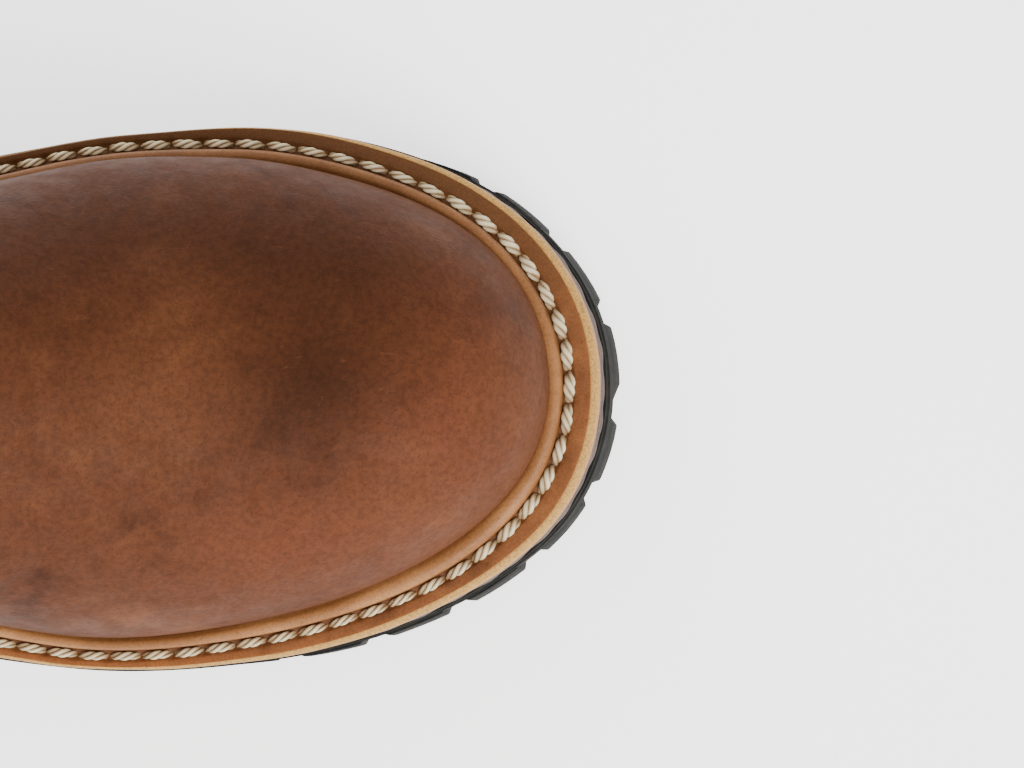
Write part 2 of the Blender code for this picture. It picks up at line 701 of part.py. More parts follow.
def heel_plan(beyond):
    """The heel's outline: the sole's edge back of the breast, as a loop up the outer side and down the inner."""
    loop = []
    for side in (LATERAL, MEDIAL):
        half = []
        for i in range(13):
            low, high = 0.0, 0.5
            goal = mix(EDGE_BACK, HEEL_BREAST, (1 - math.cos(math.pi / 2 * i / 12)))
            for _ in range(30):
                middle = (low + high) / 2
                if rim_point(middle, side, 0.0, 0.0)[0] < goal:
                    low = middle
                else:
                    high = middle
            half.append(rim_point(high, side, beyond, 0.0)[:2])
        half[0] = np.array([EDGE_BACK - beyond, 0.0])
        loop.append(half)
    front = [np.array([loop[0][-1][0] - HEEL_BREAST_CURVE, 0.0])]
    return loop[0] + front + loop[1][:0:-1]


def make_heel_base(look, collection):
    """The stacked heel, with a groove between each two layers."""
    loops = []
    low = HEEL_LIFT + FIT_GAP
    layer = (HEEL_TOP - low) / HEEL_LAYERS
    full, inset = heel_plan(0.0), heel_plan(-HEEL_GROOVE)
    for k in range(HEEL_LAYERS):
        z = HEEL_TOP - k * layer
        if k:
            loops.append([heel_point(p, z) for p in inset])
            loops.append([heel_point(p, z - HEEL_GROOVE) for p in full])
        else:
            loops.append([heel_point(p, z) for p in full])
        if k < HEEL_LAYERS - 1:
            loops.append([heel_point(p, z - layer + HEEL_GROOVE) for p in full])
        else:
            loops.append([heel_point(p, low) for p in full])
    return slab("heel_base", loops, look, collection)


def make_heel_lift(look, collection, helpers):
    """The rubber top piece of the heel, with its lugs."""
    full = heel_plan(0.0)
    loops = [[heel_point(p, z) for p in full] for z in (HEEL_LIFT, HEEL_LUG_DEPTH)]
    lift = slab("heel_lift", loops, look, collection)
    line = EdgeLine()
    points, faces = Points(), []
    reach = 0.0
    while line.from_back(reach)[0][0] < HEEL_BREAST - LUG_PITCH * 0.55:
        for side in ((LATERAL, MEDIAL) if reach else (MEDIAL,)):
            plan = lug_plan(line.from_back, side * reach, LUG_INWARD * 0.95, (LUG_PITCH, LUG_GAP))
            rings = []
            for z, flare in ((0.0, 0.0010), (HEEL_LUG_DEPTH + LUG_CLIMB, 0.0006)):
                ring = []
                for point, out, beyond in plan:
                    spot = point + out * (beyond + (flare if beyond > -LUG_INWARD * 0.9 else 0.0))
                    ring.append(heel_point(spot, z))
                rings.append(ring)
            prism(points, faces, *rings)
        reach += LUG_PITCH
    half = LUG_PITCH * 0.62
    for x in (0.0,):
        plan = [(x - half, -half), (x + half, -half), (x + half, half), (x - half, half)]
        prism(points, faces, *[[np.array([px, py, z]) for px, py in plan] for z in (0.0, HEEL_LUG_DEPTH + 0.002)])
    lugs = mesh_object("heel_lugs", points.all, faces, look, helpers)
    boolean(lift, lugs, "UNION")
    return lift


def make_overlay(name, columns, low_row, top_row, rows, look, collection):
    """A piece of leather over the quarters, between two rows and over the upper's own columns round the back."""
    layers = []
    for offset in (FIT_GAP, FIT_GAP + OVERLAY):
        grid = []
        for j in range(rows + 1):
            line = []
            for i in range(-columns, columns + 1):
                row = mix(low_row, top_row(abs(i) / columns), j / rows)
                side = MEDIAL if i > 0 else LATERAL
                place = rear_columns(row, side)[abs(i)]
                line.append(on_boot(place, row, side, quarter_step(row) + offset))
            grid.append(line)
        layers.append(grid)
    return shell(name, layers[1], layers[0], look, collection)


COUNTER_LOW = LEDGE_ROW
BACKSTAY_LOW = COUNTER_TOP + 0.003


def counter_top(u):
    """The counter's upper edge, from the back seam, 0, round to its front end, 1."""
    return COUNTER_LOW + 0.02 + (COUNTER_TOP - COUNTER_LOW - 0.02) * math.cos(math.pi / 2 * u ** 1.4)


def make_counter(look, collection):
    return make_overlay("heel_counter", COUNTER_COLUMNS, COUNTER_LOW, counter_top, 3, look, collection)


def make_backstay(look, collection):
    return make_overlay("backstay", 1, BACKSTAY_LOW, lambda u: 0.985, 9, look, collection)


def make_tongue(look, collection):
    """The tongue, held against the vamp at its foot, and free under the quarters up past the collar."""
    rise = TONGUE_RISE / FRONT_LENGTH
    layers = []
    for depth in (0.0, TONGUE):
        grid = []
        for row in [0.35, 0.39] + SHAFT_ROWS + [1 + rise]:
            drop = ease((row - 0.39) / (THROAT + 0.02 - 0.39))
            offset = -WALL - mix(1.3 * FIT_GAP, TONGUE_CLEARANCE, drop) - depth
            gap = mix(THROAT_HALF_GAP, COLLAR_HALF_GAP, min(max((row - THROAT) / (1 - THROAT), 0.0), 1.0))
            line = []
            for i in range(-TONGUE_COLUMNS, TONGUE_COLUMNS + 1):
                side = MEDIAL if i > 0 else LATERAL
                u = abs(i) / TONGUE_COLUMNS
                height = row - 0.6 * rise * u ** 3 if row > 1 else row
                edge = sigma_at_half_width(row, gap + TONGUE_LAP, side)
                line.append(on_boot(mix(1.0, edge, u), height, side, offset))
            grid.append(line)
        layers.append(grid)
    return shell("tongue", layers[0], layers[1], look, collection)


def quarter_place(row, side, inset):
    """Where a row is this far, in a straight line, behind the edge of the lacing gap."""
    edge = throat_sigma(row, side)
    start = boot_point(edge, row, side)
    low, high = edge - 0.4, edge
    for _ in range(22):
        middle = (low + high) / 2
        if np.linalg.norm(boot_point(middle, row, side) - start) > inset:
            low = middle
        else:
            high = middle
    return high


def stud_frame(row, side):
    """Centre and axes of an eyelet or hook: away from the lacing gap, up the boot, and out of the leather."""
    sigma = quarter_place(row, side, EYELET_INSET)
    normal = boot_normal(sigma, row, side)
    away = boot_point(sigma - 0.004, row, side) - boot_point(sigma, row, side)
    away -= normal * float(away @ normal)
    away /= np.linalg.norm(away)
    up = np.cross(normal, away)
    return on_boot(sigma, row, side, QUARTER_STEP), away, up if up[2] > 0 else -up, normal


def stud_rows():
    """Rows of the eyelets and hooks, from the lowest pair up."""
    eyelets = [THROAT + (FIRST_EYELET + EYELET_PITCH * i) / FRONT_LENGTH for i in range(EYELET_PAIRS)]
    top = 1 - TOP_HOOK / FRONT_LENGTH
    return eyelets + [mix(eyelets[-1], top, (i + 1) / HOOK_PAIRS) for i in range(HOOK_PAIRS)]


def placed(obj, frame):
    """Sets an object down on the leather: its X away from the lacing gap, its Z out of the leather."""
    centre, away, up, normal = frame
    across = np.cross(normal, away)
    obj.matrix_world = Matrix([[*(float(v) for v in row)] for row in np.vstack([
        np.column_stack([away, across, normal, centre]), [0.0, 0.0, 0.0, 1.0],
    ])])
    return obj


def turned(name, profile, sides, look, collection):
    """A closed profile of (radius, height) corners, turned round Z."""
    mesh = bpy.data.meshes.new(name)
    count = len(profile)
    mesh.from_pydata([(r, 0.0, h) for r, h in profile], [(i, (i + 1) % count) for i in range(count)], [])
    mesh.materials.append(look)
    obj = bpy.data.objects.new(name, mesh)
    collection.objects.link(obj)
    turn = obj.modifiers.new("turn", "SCREW")
    turn.axis = "Z"
    turn.angle = 2 * math.pi
    turn.steps = sides
    turn.render_steps = sides
    turn.use_merge_vertices = True
    turn.merge_threshold = 0.00001
    turn.use_smooth_shade = True
    return obj


def make_eyelet(name, frame, look, collection):
    top, low = STUD_CLEARANCE + METAL, -QUARTER_STEP - WALL - 0.0008
    profile = [
        (EYELET_BORE, top), (EYELET_FLANGE - METAL / 2, top), (EYELET_FLANGE, STUD_CLEARANCE),
        (EYELET_RADIUS, STUD_CLEARANCE), (EYELET_RADIUS, low), (EYELET_BORE, low),
    ]
    return placed(turned(name, profile, EYELET_SIDES, look, collection), frame)


def punch(target, frames, helpers):
    """Cuts the eyelets' holes through the quarters."""
    punches = bmesh.new()
    for frame in frames:
        made = bmesh.ops.create_cone(
            punches, cap_ends=True, segments=EYELET_SIDES, radius1=EYELET_RADIUS + 0.0005,
            radius2=EYELET_RADIUS + 0.0005, depth=0.012,
        )
        holder = bpy.data.objects.new("holder", None)
        turn = placed(holder, frame).matrix_world.copy()
        bpy.data.objects.remove(holder)
        bmesh.ops.transform(punches, matrix=turn @ Matrix.Translation((0.0, 0.0, -0.002)), verts=made["verts"])
    mesh = bpy.data.meshes.new("eyelet_holes")
    punches.to_mesh(mesh)
    punches.free()
    cutter = bpy.data.objects.new("eyelet_holes", mesh)
    helpers.objects.link(cutter)
    boolean(target, cutter, "DIFFERENCE")


def make_hook(name, frame, look, collection):
    """A speed hook: one strip of sheet metal, flat on the leather and curled back over itself."""
    base, high = STUD_CLEARANCE + METAL / 2, HOOK_HEIGHT
    plate, neck = HOOK_PLATE, HOOK_WIDTH / 2
    line = [
        (plate, base, plate * 0.75), (0.1 * plate, base, plate), (-0.55 * plate, base, plate * 0.8),
        (-0.78 * plate, base + METAL, neck * 0.9), (-0.73 * plate, 0.62 * high, neck * 0.85),
        (-0.45 * plate, 0.93 * high, neck * 0.9), (0.05 * plate, high, neck), (0.58 * plate, 0.96 * high, neck),
        (1.05 * plate, 1.10 * high, neck * 0.9),
    ]
    mesh = bpy.data.meshes.new(name)
    corners = [(u, side * half, h) for u, h, half in line for side in (-1, 1)]
    mesh.from_pydata(corners, [], [(2 * k, 2 * k + 1, 2 * k + 3, 2 * k + 2) for k in range(len(line) - 1)])
    mesh.materials.append(look)
    obj = bpy.data.objects.new(name, mesh)
    collection.objects.link(obj)
    thick = obj.modifiers.new("sheet", "SOLIDIFY")
    thick.thickness = METAL
    thick.offset = 0.0
    return placed(obj, frame)


def cord(name, path, look, collection):
    """A round cord along a path, as a mesh, so that it can be joined to others."""
    curve = bpy.data.curves.new(name, "CURVE")
    curve.dimensions = "3D"
    curve.bevel_depth = LACE
    curve.bevel_resolution = LACE_DETAIL
    curve.use_fill_caps = True
    spline = curve.splines.new("POLY")
    spline.points.add(len(path) - 1)
    for point, place in zip(spline.points, path):
        point.co = (*(float(c) for c in place), 1.0)
    drawn = bpy.data.objects.new(name + "_path", curve)
    collection.objects.link(drawn)
    bpy.context.view_layer.update()
    mesh = bpy.data.meshes.new_from_object(drawn.evaluated_get(bpy.context.evaluated_depsgraph_get()))
    bpy.data.objects.remove(drawn)
    work = bmesh.new()
    work.from_mesh(mesh)
    bmesh.ops.remove_doubles(work, verts=work.verts, dist=1e-6)
    work.to_mesh(mesh)
    work.free()
    mesh.materials.clear()
    mesh.materials.append(look)
    obj = bpy.data.objects.new(name, mesh)
    collection.objects.link(obj)
    return obj


def lace_spot(row, side, inset, height, along):
    """A point of the lace over a quarter: inset from the lacing edge, and this far along the boot from the row."""
    row += along / FRONT_LENGTH
    return on_boot(quarter_place(row, side, inset), row, side, QUARTER_STEP + height)


def lace_turn(k, row, side):
    """The lace's turn at one eyelet, beside its flange, or round one hook, under its curl."""
    rest = 1.45 * LACE
    if k < EYELET_PAIRS:
        near = EYELET_INSET - EYELET_FLANGE - 1.15 * LACE
        spots = [(0.0, rest, -0.0035), (near, rest, 0.0), (0.0, rest, 0.0035)]
    else:
        near = EYELET_INSET - 0.05 * HOOK_PLATE
        low = STUD_CLEARANCE + METAL + 1.25 * LACE
        wide = HOOK_WIDTH / 2 + 0.8 * LACE
        spots = [
            (0.0, rest, -wide - 2 * LACE), (near - 1.7 * LACE, low, -wide - 0.8 * LACE), (near, low, -wide),
            (near, low, wide), (near - 1.7 * LACE, low, wide + 0.8 * LACE), (0.0, rest, wide + 2 * LACE),
        ]
    return [lace_spot(row, side, *spot) for spot in spots]


def make_lace(look, collection, helpers):
    """The lace's crossings: a bar at the lowest eyelets, and two strands that cross at every pair above it."""
    rows = stud_rows()
    strands = []
    for start in (LATERAL, MEDIAL):
        path = []
        for k, row in enumerate(rows):
            turn = lace_turn(k, row, start if k % 2 == 0 else -start)
            path += turn[1:] if k == 0 else turn
        strands.append(path[:-2])
    near = EYELET_INSET - EYELET_FLANGE - 1.05 * LACE
    bar = [lace_spot(rows[0], side, inset, 1.45 * LACE, -0.0004)
           for side, inset in ((LATERAL, near), (LATERAL, 0.0), (MEDIAL, 0.0), (MEDIAL, near))]
    lace = cord("lace", strands[0], look, collection)
    boolean(lace, cord("lace_other_strand", strands[1], look, helpers), "UNION")
    boolean(lace, cord("lace_bar", bar, look, helpers), "UNION")
    return lace


def main():
    clear_scene()
    boot = bpy.data.collections.new("logger_boot")
    helpers = bpy.data.collections.new("helpers")
    for collection in (boot, helpers):
        bpy.context.scene.collection.children.link(collection)
    leather = material("oiled_leather", (0.26, 0.115, 0.06), 0.55)
    overlay_leather = material("overlay_leather", (0.22, 0.095, 0.05), 0.55)
    welt_leather = material("welt_leather", (0.40, 0.20, 0.08), 0.6)
    midsole_leather = material("midsole_leather", (0.17, 0.09, 0.055), 0.7)
    insole_leather = material("insole_leather", (0.50, 0.33, 0.20), 0.8)
    rubber = material("black_rubber", (0.035, 0.035, 0.033), 0.75)
    brass = material("antique_brass", (0.30, 0.20, 0.09), 0.4, 1.0)
    waxed = material("waxed_cord", (0.10, 0.055, 0.03), 0.8)

    upper = make_upper(leather, boot)
    make_counter(overlay_leather, boot)
    make_backstay(overlay_leather, boot)
    make_tongue(leather, boot)
    make_welt(welt_leather, boot)
    make_insole(insole_leather, boot)
    make_midsole(midsole_leather, boot)
    make_outsole(rubber, boot, helpers)
    make_heel_base(midsole_leather, boot)
    make_heel_lift(rubber, boot, helpers)
    frames = []
    for k, row in enumerate(stud_rows()):
        for side, label in ((LATERAL, "outer"), (MEDIAL, "inner")):
            frame = stud_frame(row, side)
            if k < EYELET_PAIRS:
                make_eyelet(f"eyelet_{label}_{k + 1}", frame, brass, boot)
                frames.append(frame)
            else:
                make_hook(f"hook_{label}_{k - EYELET_PAIRS + 1}", frame, brass, boot)
    punch(upper, frames, helpers)
    make_lace(waxed, boot, helpers)
    for cutter in helpers.objects:
        cutter.hide_render = True
        cutter.display_type = "WIRE"


main()
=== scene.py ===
"""Looks of the logger boot, built round its CAD frame.

Metres: +X to the toe, +Y to the inner side, +Z up.
"""

import math

import bmesh
import bpy
import numpy as np
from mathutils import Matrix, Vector


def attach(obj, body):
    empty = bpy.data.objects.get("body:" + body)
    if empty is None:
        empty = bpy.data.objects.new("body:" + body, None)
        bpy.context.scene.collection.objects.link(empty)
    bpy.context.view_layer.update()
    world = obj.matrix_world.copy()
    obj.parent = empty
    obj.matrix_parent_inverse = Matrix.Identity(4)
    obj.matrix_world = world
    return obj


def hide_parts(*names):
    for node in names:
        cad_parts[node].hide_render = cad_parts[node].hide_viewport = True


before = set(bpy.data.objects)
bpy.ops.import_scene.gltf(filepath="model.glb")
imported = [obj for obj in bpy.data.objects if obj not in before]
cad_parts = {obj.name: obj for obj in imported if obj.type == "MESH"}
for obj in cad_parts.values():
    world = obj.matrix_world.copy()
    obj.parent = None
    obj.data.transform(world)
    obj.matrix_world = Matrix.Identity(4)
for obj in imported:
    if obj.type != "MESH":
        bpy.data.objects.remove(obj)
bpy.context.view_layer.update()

MM = 0.001

# Sizes of the last, the upper and the sole, as in the part's source, but for six of them. LUG_GAP and LUG_FLARE are
# fitted to the photo once more, as are the tables that say so below. EYELET_RADIUS, EYELET_BORE, STUD_CLEARANCE and
# LACE are up to 0.4 mm off the source's.
LAST_LENGTH = 0.288
HEEL_SETBACK = 0.0378
BALL_WIDTH = 0.0965
INSTEP_HEIGHT = 0.078
SHAFT_HEIGHT = 0.208
COLLAR_WIDTH = 0.084
WALL = 0.003
QUARTER_STEP = 0.0013
SKIVED_STEP = 0.0004
OVERLAY = 0.0018
THROAT_HALF_GAP = 0.0105
COLLAR_HALF_GAP = 0.0165
TONGUE = 0.0028
TONGUE_CLEARANCE = 0.0045
TONGUE_RISE = 0.016
TONGUE_LAP = 0.012
FIT_GAP = 0.0003
HEEL_HEIGHT = 0.050
MIDSOLE = 0.004
OUTSOLE = 0.006
LUG_DEPTH = 0.0073
TOE_SPRING = 0.0095
INSOLE = 0.004
WELT = 0.004
WELT_TOE_WIDTH = 0.0108
WELT_HEEL_WIDTH = 0.0080
RIB_HEIGHT = 0.0038
LUG_PITCH = 0.0180
LUG_GAP = 0.0028
LUG_INWARD = 0.0150
LUG_FLARE = 0.0012
LUG_CHAMFER = 0.0016
LUG_CLIMB = 0.0030
TOE_LUG_OFFSET = 0.0060
EDGE_RIDGE = 0.0004
HEEL_BREAST = 0.0365
HEEL_SLOPE_BACK = 0.0095
HEEL_SLOPE_BREAST = 0.0045
HEEL_SLOPE_SIDE = 0.0018
HEEL_BREAST_CURVE = 0.0030
HEEL_LIFT = 0.014
HEEL_LUG_DEPTH = 0.007
HEEL_LAYERS = 4
HEEL_GROOVE = 0.0005
EYELET_PAIRS = 5
HOOK_PAIRS = 4
EYELET_INSET = 0.0105
FIRST_EYELET = 0.0100
EYELET_PITCH = 0.0170
TOP_HOOK = 0.0170
EYELET_RADIUS = 0.0026
EYELET_BORE = 0.0021
EYELET_FLANGE = 0.0046
METAL = 0.0009
STUD_CLEARANCE = 0.0001
HOOK_PLATE = 0.0045
HOOK_HEIGHT = 0.0068
HOOK_WIDTH = 0.0052
LACE = 0.0017

LATERAL, MEDIAL = -1, 1

VAMP_LINE = (
    (1.000, 0.000), (0.9993, 0.11), (0.989, 0.25), (0.968, 0.37), (0.937, 0.475), (0.895, 0.560),
    (0.843, 0.625), (0.784, 0.687), (0.7215, 0.757), (0.652, 0.858), (0.590, 0.970), (0.531, 1.095),
)
SHAFT_FRONT_LINE = (
    (0.482, 0.358), (0.444, 0.447), (0.4177, 0.543), (0.402, 0.654), (0.3934, 0.779), (0.394, 1.0),
)
BACK_LINE = (
    (0.000, 0.000), (-0.011, 0.048), (-0.0198, 0.106), (-0.0205, 0.168), (-0.0128, 0.240), (-0.0007, 0.317),
    (0.008, 0.394), (0.0115, 0.481), (0.008, 0.587), (0.001, 0.712), (-0.0094, 0.865), (-0.018, 0.975),
)
# Fitted to the photo. Columns: place along the last, inner side, outer side.
EDGE_WIDTHS = (
    (0.00, 0.326, 0.326), (0.13, 0.326, 0.328), (0.27, 0.306, 0.352), (0.39, 0.296, 0.389),
    (0.548, 0.389, 0.470), (0.687, 0.466, 0.5345), (0.777, 0.4767, 0.539), (0.90, 0.4715, 0.539),
    (1.00, 0.4715, 0.539),
)
SIDE_BULGES = (
    (0.00, 0.055, 0.055), (0.45, 0.055, 0.055), (0.62, 0.085, 0.045), (0.70, 0.092, 0.025),
    (0.77, 0.070, 0.018), (0.84, 0.024, 0.018), (1.00, 0.015, 0.018),
)
SHAFT_WIDTHS = (
    (0.0, 0.80), (0.25, 0.83), (0.45, 0.82), (0.60, 0.85), (0.75, 0.91), (0.90, 0.97), (1.0, 1.0),
    (1.1, 1.02),
)
SECTION_POWER = ((0.35, 1.7), (0.5, 1.8), (0.62, 2.05), (0.75, 2.35), (0.88, 2.55), (1.0, 2.6))
BACK_OF_ROW = (
    (0.0, 0.0), (0.0267, 0.042), (0.10, 0.10), (0.25, 0.20), (0.45, 0.345), (0.64, 0.50), (0.80, 0.70),
    (1.0, 0.975),
)
TOE_CAP = {MEDIAL: 0.232, LATERAL: 0.360}       # fitted to the photo
HEEL_CAP = 0.118
TOE_POWER = {MEDIAL: 2.20, LATERAL: 2.08}       # fitted to the photo
HEEL_POWER = 2.15
SHAFT_POWER = 2.15
THROAT = 0.452
FOOT_ROWS_END = 0.40
SHAFT_ROWS_START = 0.70
COUNTER_TOP = 0.27
SEAM_FOOT = 0.455
LEVEL_ROWS = 0.05
ARCH_START, ARCH_END = 0.245, 0.645
SPRING_START = 0.730
# Fitted to the photo: from the heel's width, 0, to the toe's, 1. Columns: place along the last, inner side,
# outer side.
WELT_WIDTHS = (
    (0.00, 0.00, 0.00), (0.35, 0.00, 0.00), (0.60, 0.00, -0.10), (0.70, 0.05, -0.25), (0.78, 0.30, 0.15),
    (0.85, 0.33, 0.60), (0.90, 0.39, 0.80), (0.95, 0.57, 1.05), (0.975, 0.70, 1.20), (1.00, 1.00, 1.00),
)
MIDDLE_LUG_COUNTS = ((0.505, 1), (0.565, 2), (0.625, 1), (0.685, 2), (0.745, 1), (0.805, 2), (0.865, 1))
MIDDLE_LUG_LENGTH = 0.0138


# Arrays

def floats(*values):
    return np.broadcast_arrays(*(np.asarray(value, float) for value in values))


def unit(vectors):
    return vectors / np.linalg.norm(vectors, axis=-1, keepdims=True)


def running_length(points):
    return np.concatenate([[0.0], np.cumsum(np.linalg.norm(np.diff(points, axis=0), axis=1))])


def columns_at(s, lengths, values):
    """Each column of values, read at the lengths s."""
    return np.stack([np.interp(s, lengths, column) for column in values.T], axis=-1)


def round_angles(count):
    return np.arange(count) * 2 * math.pi / count


# The last's functions, as in the part's source, here for whole arrays at once

def smooth_curve(points):
    xs, ys = (np.array(column, float) for column in zip(*points))
    slopes = np.gradient(ys, xs)

    def value(x):
        x = np.asarray(x, float)
        i = np.clip(np.searchsorted(xs, x) - 1, 0, len(xs) - 2)
        step = xs[i + 1] - xs[i]
        u = np.clip((x - xs[i]) / step, 0.0, 1.0)
        bend = slopes[i] * step * u * (1 - u) ** 2 - slopes[i + 1] * step * u * u * (1 - u)
        return ys[i] * (1 + 2 * u) * (1 - u) ** 2 + ys[i + 1] * u * u * (3 - 2 * u) + bend

    return value


def ease(u):
    u = np.clip(u, 0.0, 1.0)
    return u * u * (3 - 2 * u)


def mix(a, b, u):
    return a + (b - a) * u


def by_side(table):
    """Smooth curves through a table's columns: place along the last, inner side, outer side."""
    inner = smooth_curve([(place, value) for place, value, _ in table])
    outer = smooth_curve([(place, value) for place, _, value in table])
    return lambda share, side: np.where(side == MEDIAL, inner(share), outer(share))


def along_last(share):
    return LAST_LENGTH * share - HEEL_SETBACK


def share_of_last(x):
    return (x + HEEL_SETBACK) / LAST_LENGTH


FOREFOOT_HEIGHT = LUG_DEPTH + OUTSOLE + FIT_GAP + MIDSOLE
SOLE_TIP = along_last(1.0) + WELT_TOE_WIDTH


def midsole_top(x):
    arch = (x - along_last(ARCH_START)) / (LAST_LENGTH * (ARCH_END - ARCH_START))
    fall = (1 + np.cos(np.pi * np.clip(arch, 0.0, 1.0))) / 2
    spring = np.maximum(x - along_last(SPRING_START), 0.0) / (SOLE_TIP - along_last(SPRING_START))
    return FOREFOOT_HEIGHT + (HEEL_HEIGHT - FOREFOOT_HEIGHT) * fall + TOE_SPRING * spring ** 2


def profile(points):
    steps = [math.dist(a, b) for a, b in zip(points, points[1:])]
    lengths = np.concatenate([[0.0], np.cumsum(steps)])
    x_of = smooth_curve(list(zip(lengths, [p[0] for p in points])))
    z_of = smooth_curve(list(zip(lengths, [p[1] for p in points])))
    total = float(lengths[-1])

    def place(share):
        share = np.asarray(share, float)
        inside = np.clip(share, 0.0, 1.0) * total
        return x_of(inside), z_of(inside) + np.maximum(share - 1, 0.0) * total

    return total, place


def seat_height(share):
    return HEEL_HEIGHT + FIT_GAP + SHAFT_HEIGHT * share


FRONT_LENGTH, front_line = profile(
    [(along_last(a), float(midsole_top(along_last(a))) + FIT_GAP + INSTEP_HEIGHT * h) for a, h in VAMP_LINE]
    + [(along_last(a), seat_height(h)) for a, h in SHAFT_FRONT_LINE]
)
BACK_LENGTH, back_line = profile([(along_last(a), seat_height(h)) for a, h in BACK_LINE])

edge_width = by_side(EDGE_WIDTHS)
side_bulge = by_side(SIDE_BULGES)
welt_share = by_side(WELT_WIDTHS)
shaft_width = smooth_curve(SHAFT_WIDTHS)
section_power = smooth_curve(SECTION_POWER)
back_of_row = smooth_curve(BACK_OF_ROW)

ridge = np.column_stack(front_line(np.linspace(0.0, 1.0, 601)))
ridge = ridge[int(np.argmax(ridge[:, 0])): int(np.argmin(ridge[:, 0])) + 1][::-1]
TOE_TIP = float(ridge[-1, 0])


def ridge_height(x):
    return np.interp(x, ridge[:, 0], ridge[:, 1])


def row_share(sigma):
    return (1 - np.cos(np.pi * sigma)) / 2


def rounded_end(distance, length, power):
    u = np.clip(1 - distance / length, 0.0, 1.0)
    return (1 - u ** power) ** (1 / power)


def foot_half_width(x, z, side, back_x):
    base = midsole_top(x) + FIT_GAP
    height = np.clip((z - base) / np.maximum(ridge_height(x) - base, 1e-6), 0.0, 1.0)
    share = share_of_last(x)
    width = BALL_WIDTH * edge_width(share, side)
    width *= 1 + side_bulge(share, side) * 4 * height * (1 - height)
    toe_cap = LAST_LENGTH * np.where(side == MEDIAL, TOE_CAP[MEDIAL], TOE_CAP[LATERAL])
    toe_power = np.where(side == MEDIAL, TOE_POWER[MEDIAL], TOE_POWER[LATERAL])
    width *= rounded_end(TOE_TIP - x, toe_cap, toe_power)
    width *= rounded_end(x - back_x, LAST_LENGTH * HEEL_CAP, HEEL_POWER)
    return width * np.sqrt(1 - height ** section_power(share))


BACK_PLACES = [h for _, h in BACK_LINE]
BACK_LENGTHS = np.cumsum([0.0] + [
    math.dist((LAST_LENGTH * a, SHAFT_HEIGHT * h), (LAST_LENGTH * b, SHAFT_HEIGHT * g))
    for (a, h), (b, g) in zip(BACK_LINE, BACK_LINE[1:])
])


def row_at_back(share):
    rise = back_of_row(np.minimum(share, 1.0))
    found = np.interp(rise, BACK_PLACES, BACK_LENGTHS) / BACK_LENGTH
    return found + np.maximum(share - 1, 0.0) * FRONT_LENGTH / BACK_LENGTH


def boot_point(sigma, row, side):
    sigma, row, side = floats(sigma, row, side)
    folded = (sigma < 0) | (sigma > 1)
    side = np.where(folded, -side, side)
    sigma = np.where(sigma < 0, -sigma, sigma)
    sigma = np.where(sigma > 1, 2 - sigma, sigma)
    front_x, front_z = front_line(row)
    back_x, back_z = back_line(row_at_back(row))
    p = row_share(sigma)
    x = mix(back_x, front_x, p)
    rise = mix(back_z - midsole_top(back_x), front_z - midsole_top(front_x), p)
    straight = ease((row - 0.03) / 0.42)
    z = mix(midsole_top(x) + rise, mix(back_z, front_z, p), straight)
    turn = ease((row - FOOT_ROWS_END) / (SHAFT_ROWS_START - FOOT_ROWS_END))
    foot = foot_half_width(x, z, side, back_x)
    ring = COLLAR_WIDTH / 2 * shaft_width((z - HEEL_HEIGHT) / SHAFT_HEIGHT)
    ring = ring * np.sqrt(np.maximum(1 - np.abs(2 * p - 1) ** SHAFT_POWER, 0.0))
    return np.stack([x, side * mix(foot, ring, turn), z], axis=-1)


def boot_normal(sigma, row, side):
    step = 0.004
    sigma, row, side = floats(sigma, row, side)
    across = boot_point(sigma + step, row, side) - boot_point(sigma - step, row, side)
    up = boot_point(sigma, row + step, side) - boot_point(sigma, np.maximum(row - step, 0.0), side)
    normal = np.cross(across, up) * -side[..., None]
    normal[..., 2] *= ease(row / LEVEL_ROWS)
    return unit(normal)


def on_boot(sigma, row, side, offset=0.0):
    sigma, row, side, offset = floats(sigma, row, side, offset)
    base = boot_point(sigma, row, side)
    moved = base + boot_normal(sigma, row, side) * offset[..., None]
    moved[..., 2] += (midsole_top(moved[..., 0]) - midsole_top(base[..., 0])) * (1 - ease(row / LEVEL_ROWS))
    return moved


def bisect(low, high, goes_on, rounds=26):
    """Narrows arrays of bounds: where goes_on(middle) holds, the place lies above the middle."""
    for _ in range(rounds):
        middle = (low + high) / 2
        above = goes_on(middle)
        low, high = np.where(above, middle, low), np.where(above, high, middle)
    return (low + high) / 2


def sigma_at_half_width(row, half_width, side):
    row, half_width = floats(row, half_width)
    return bisect(np.full(row.shape, 0.5), np.ones(row.shape),
                  lambda middle: np.abs(boot_point(middle, row, side)[..., 1]) > half_width)


def throat_half_gap(row):
    return mix(THROAT_HALF_GAP, COLLAR_HALF_GAP, (row - THROAT) / (1 - THROAT))


TABLE_ROWS = np.linspace(0.35, 1.06, 360)
THROAT_TABLE = {
    side: sigma_at_half_width(TABLE_ROWS, throat_half_gap(TABLE_ROWS), side) for side in (LATERAL, MEDIAL)
}


def throat_sigma(row, side):
    return np.where(np.asarray(side) > 0, np.interp(row, TABLE_ROWS, THROAT_TABLE[MEDIAL]),
                    np.interp(row, TABLE_ROWS, THROAT_TABLE[LATERAL]))


def seam_sigma(row, side):
    row = np.asarray(row, float)
    u = np.clip(row / THROAT, 0.0, 1.0)
    low = mix(SEAM_FOOT, throat_sigma(THROAT, side), 0.35 * u + 0.65 * u ** 2.4)
    return np.where(row >= THROAT, throat_sigma(np.maximum(row, THROAT), side), low)


RIB_ROW = (WELT + RIB_HEIGHT) / FRONT_LENGTH
LEDGE_ROW = RIB_ROW + 0.003


def quarter_step(row):
    return mix(SKIVED_STEP, QUARTER_STEP, np.clip((row - RIB_ROW) / (LEDGE_ROW - RIB_ROW), 0.0, 1.0))


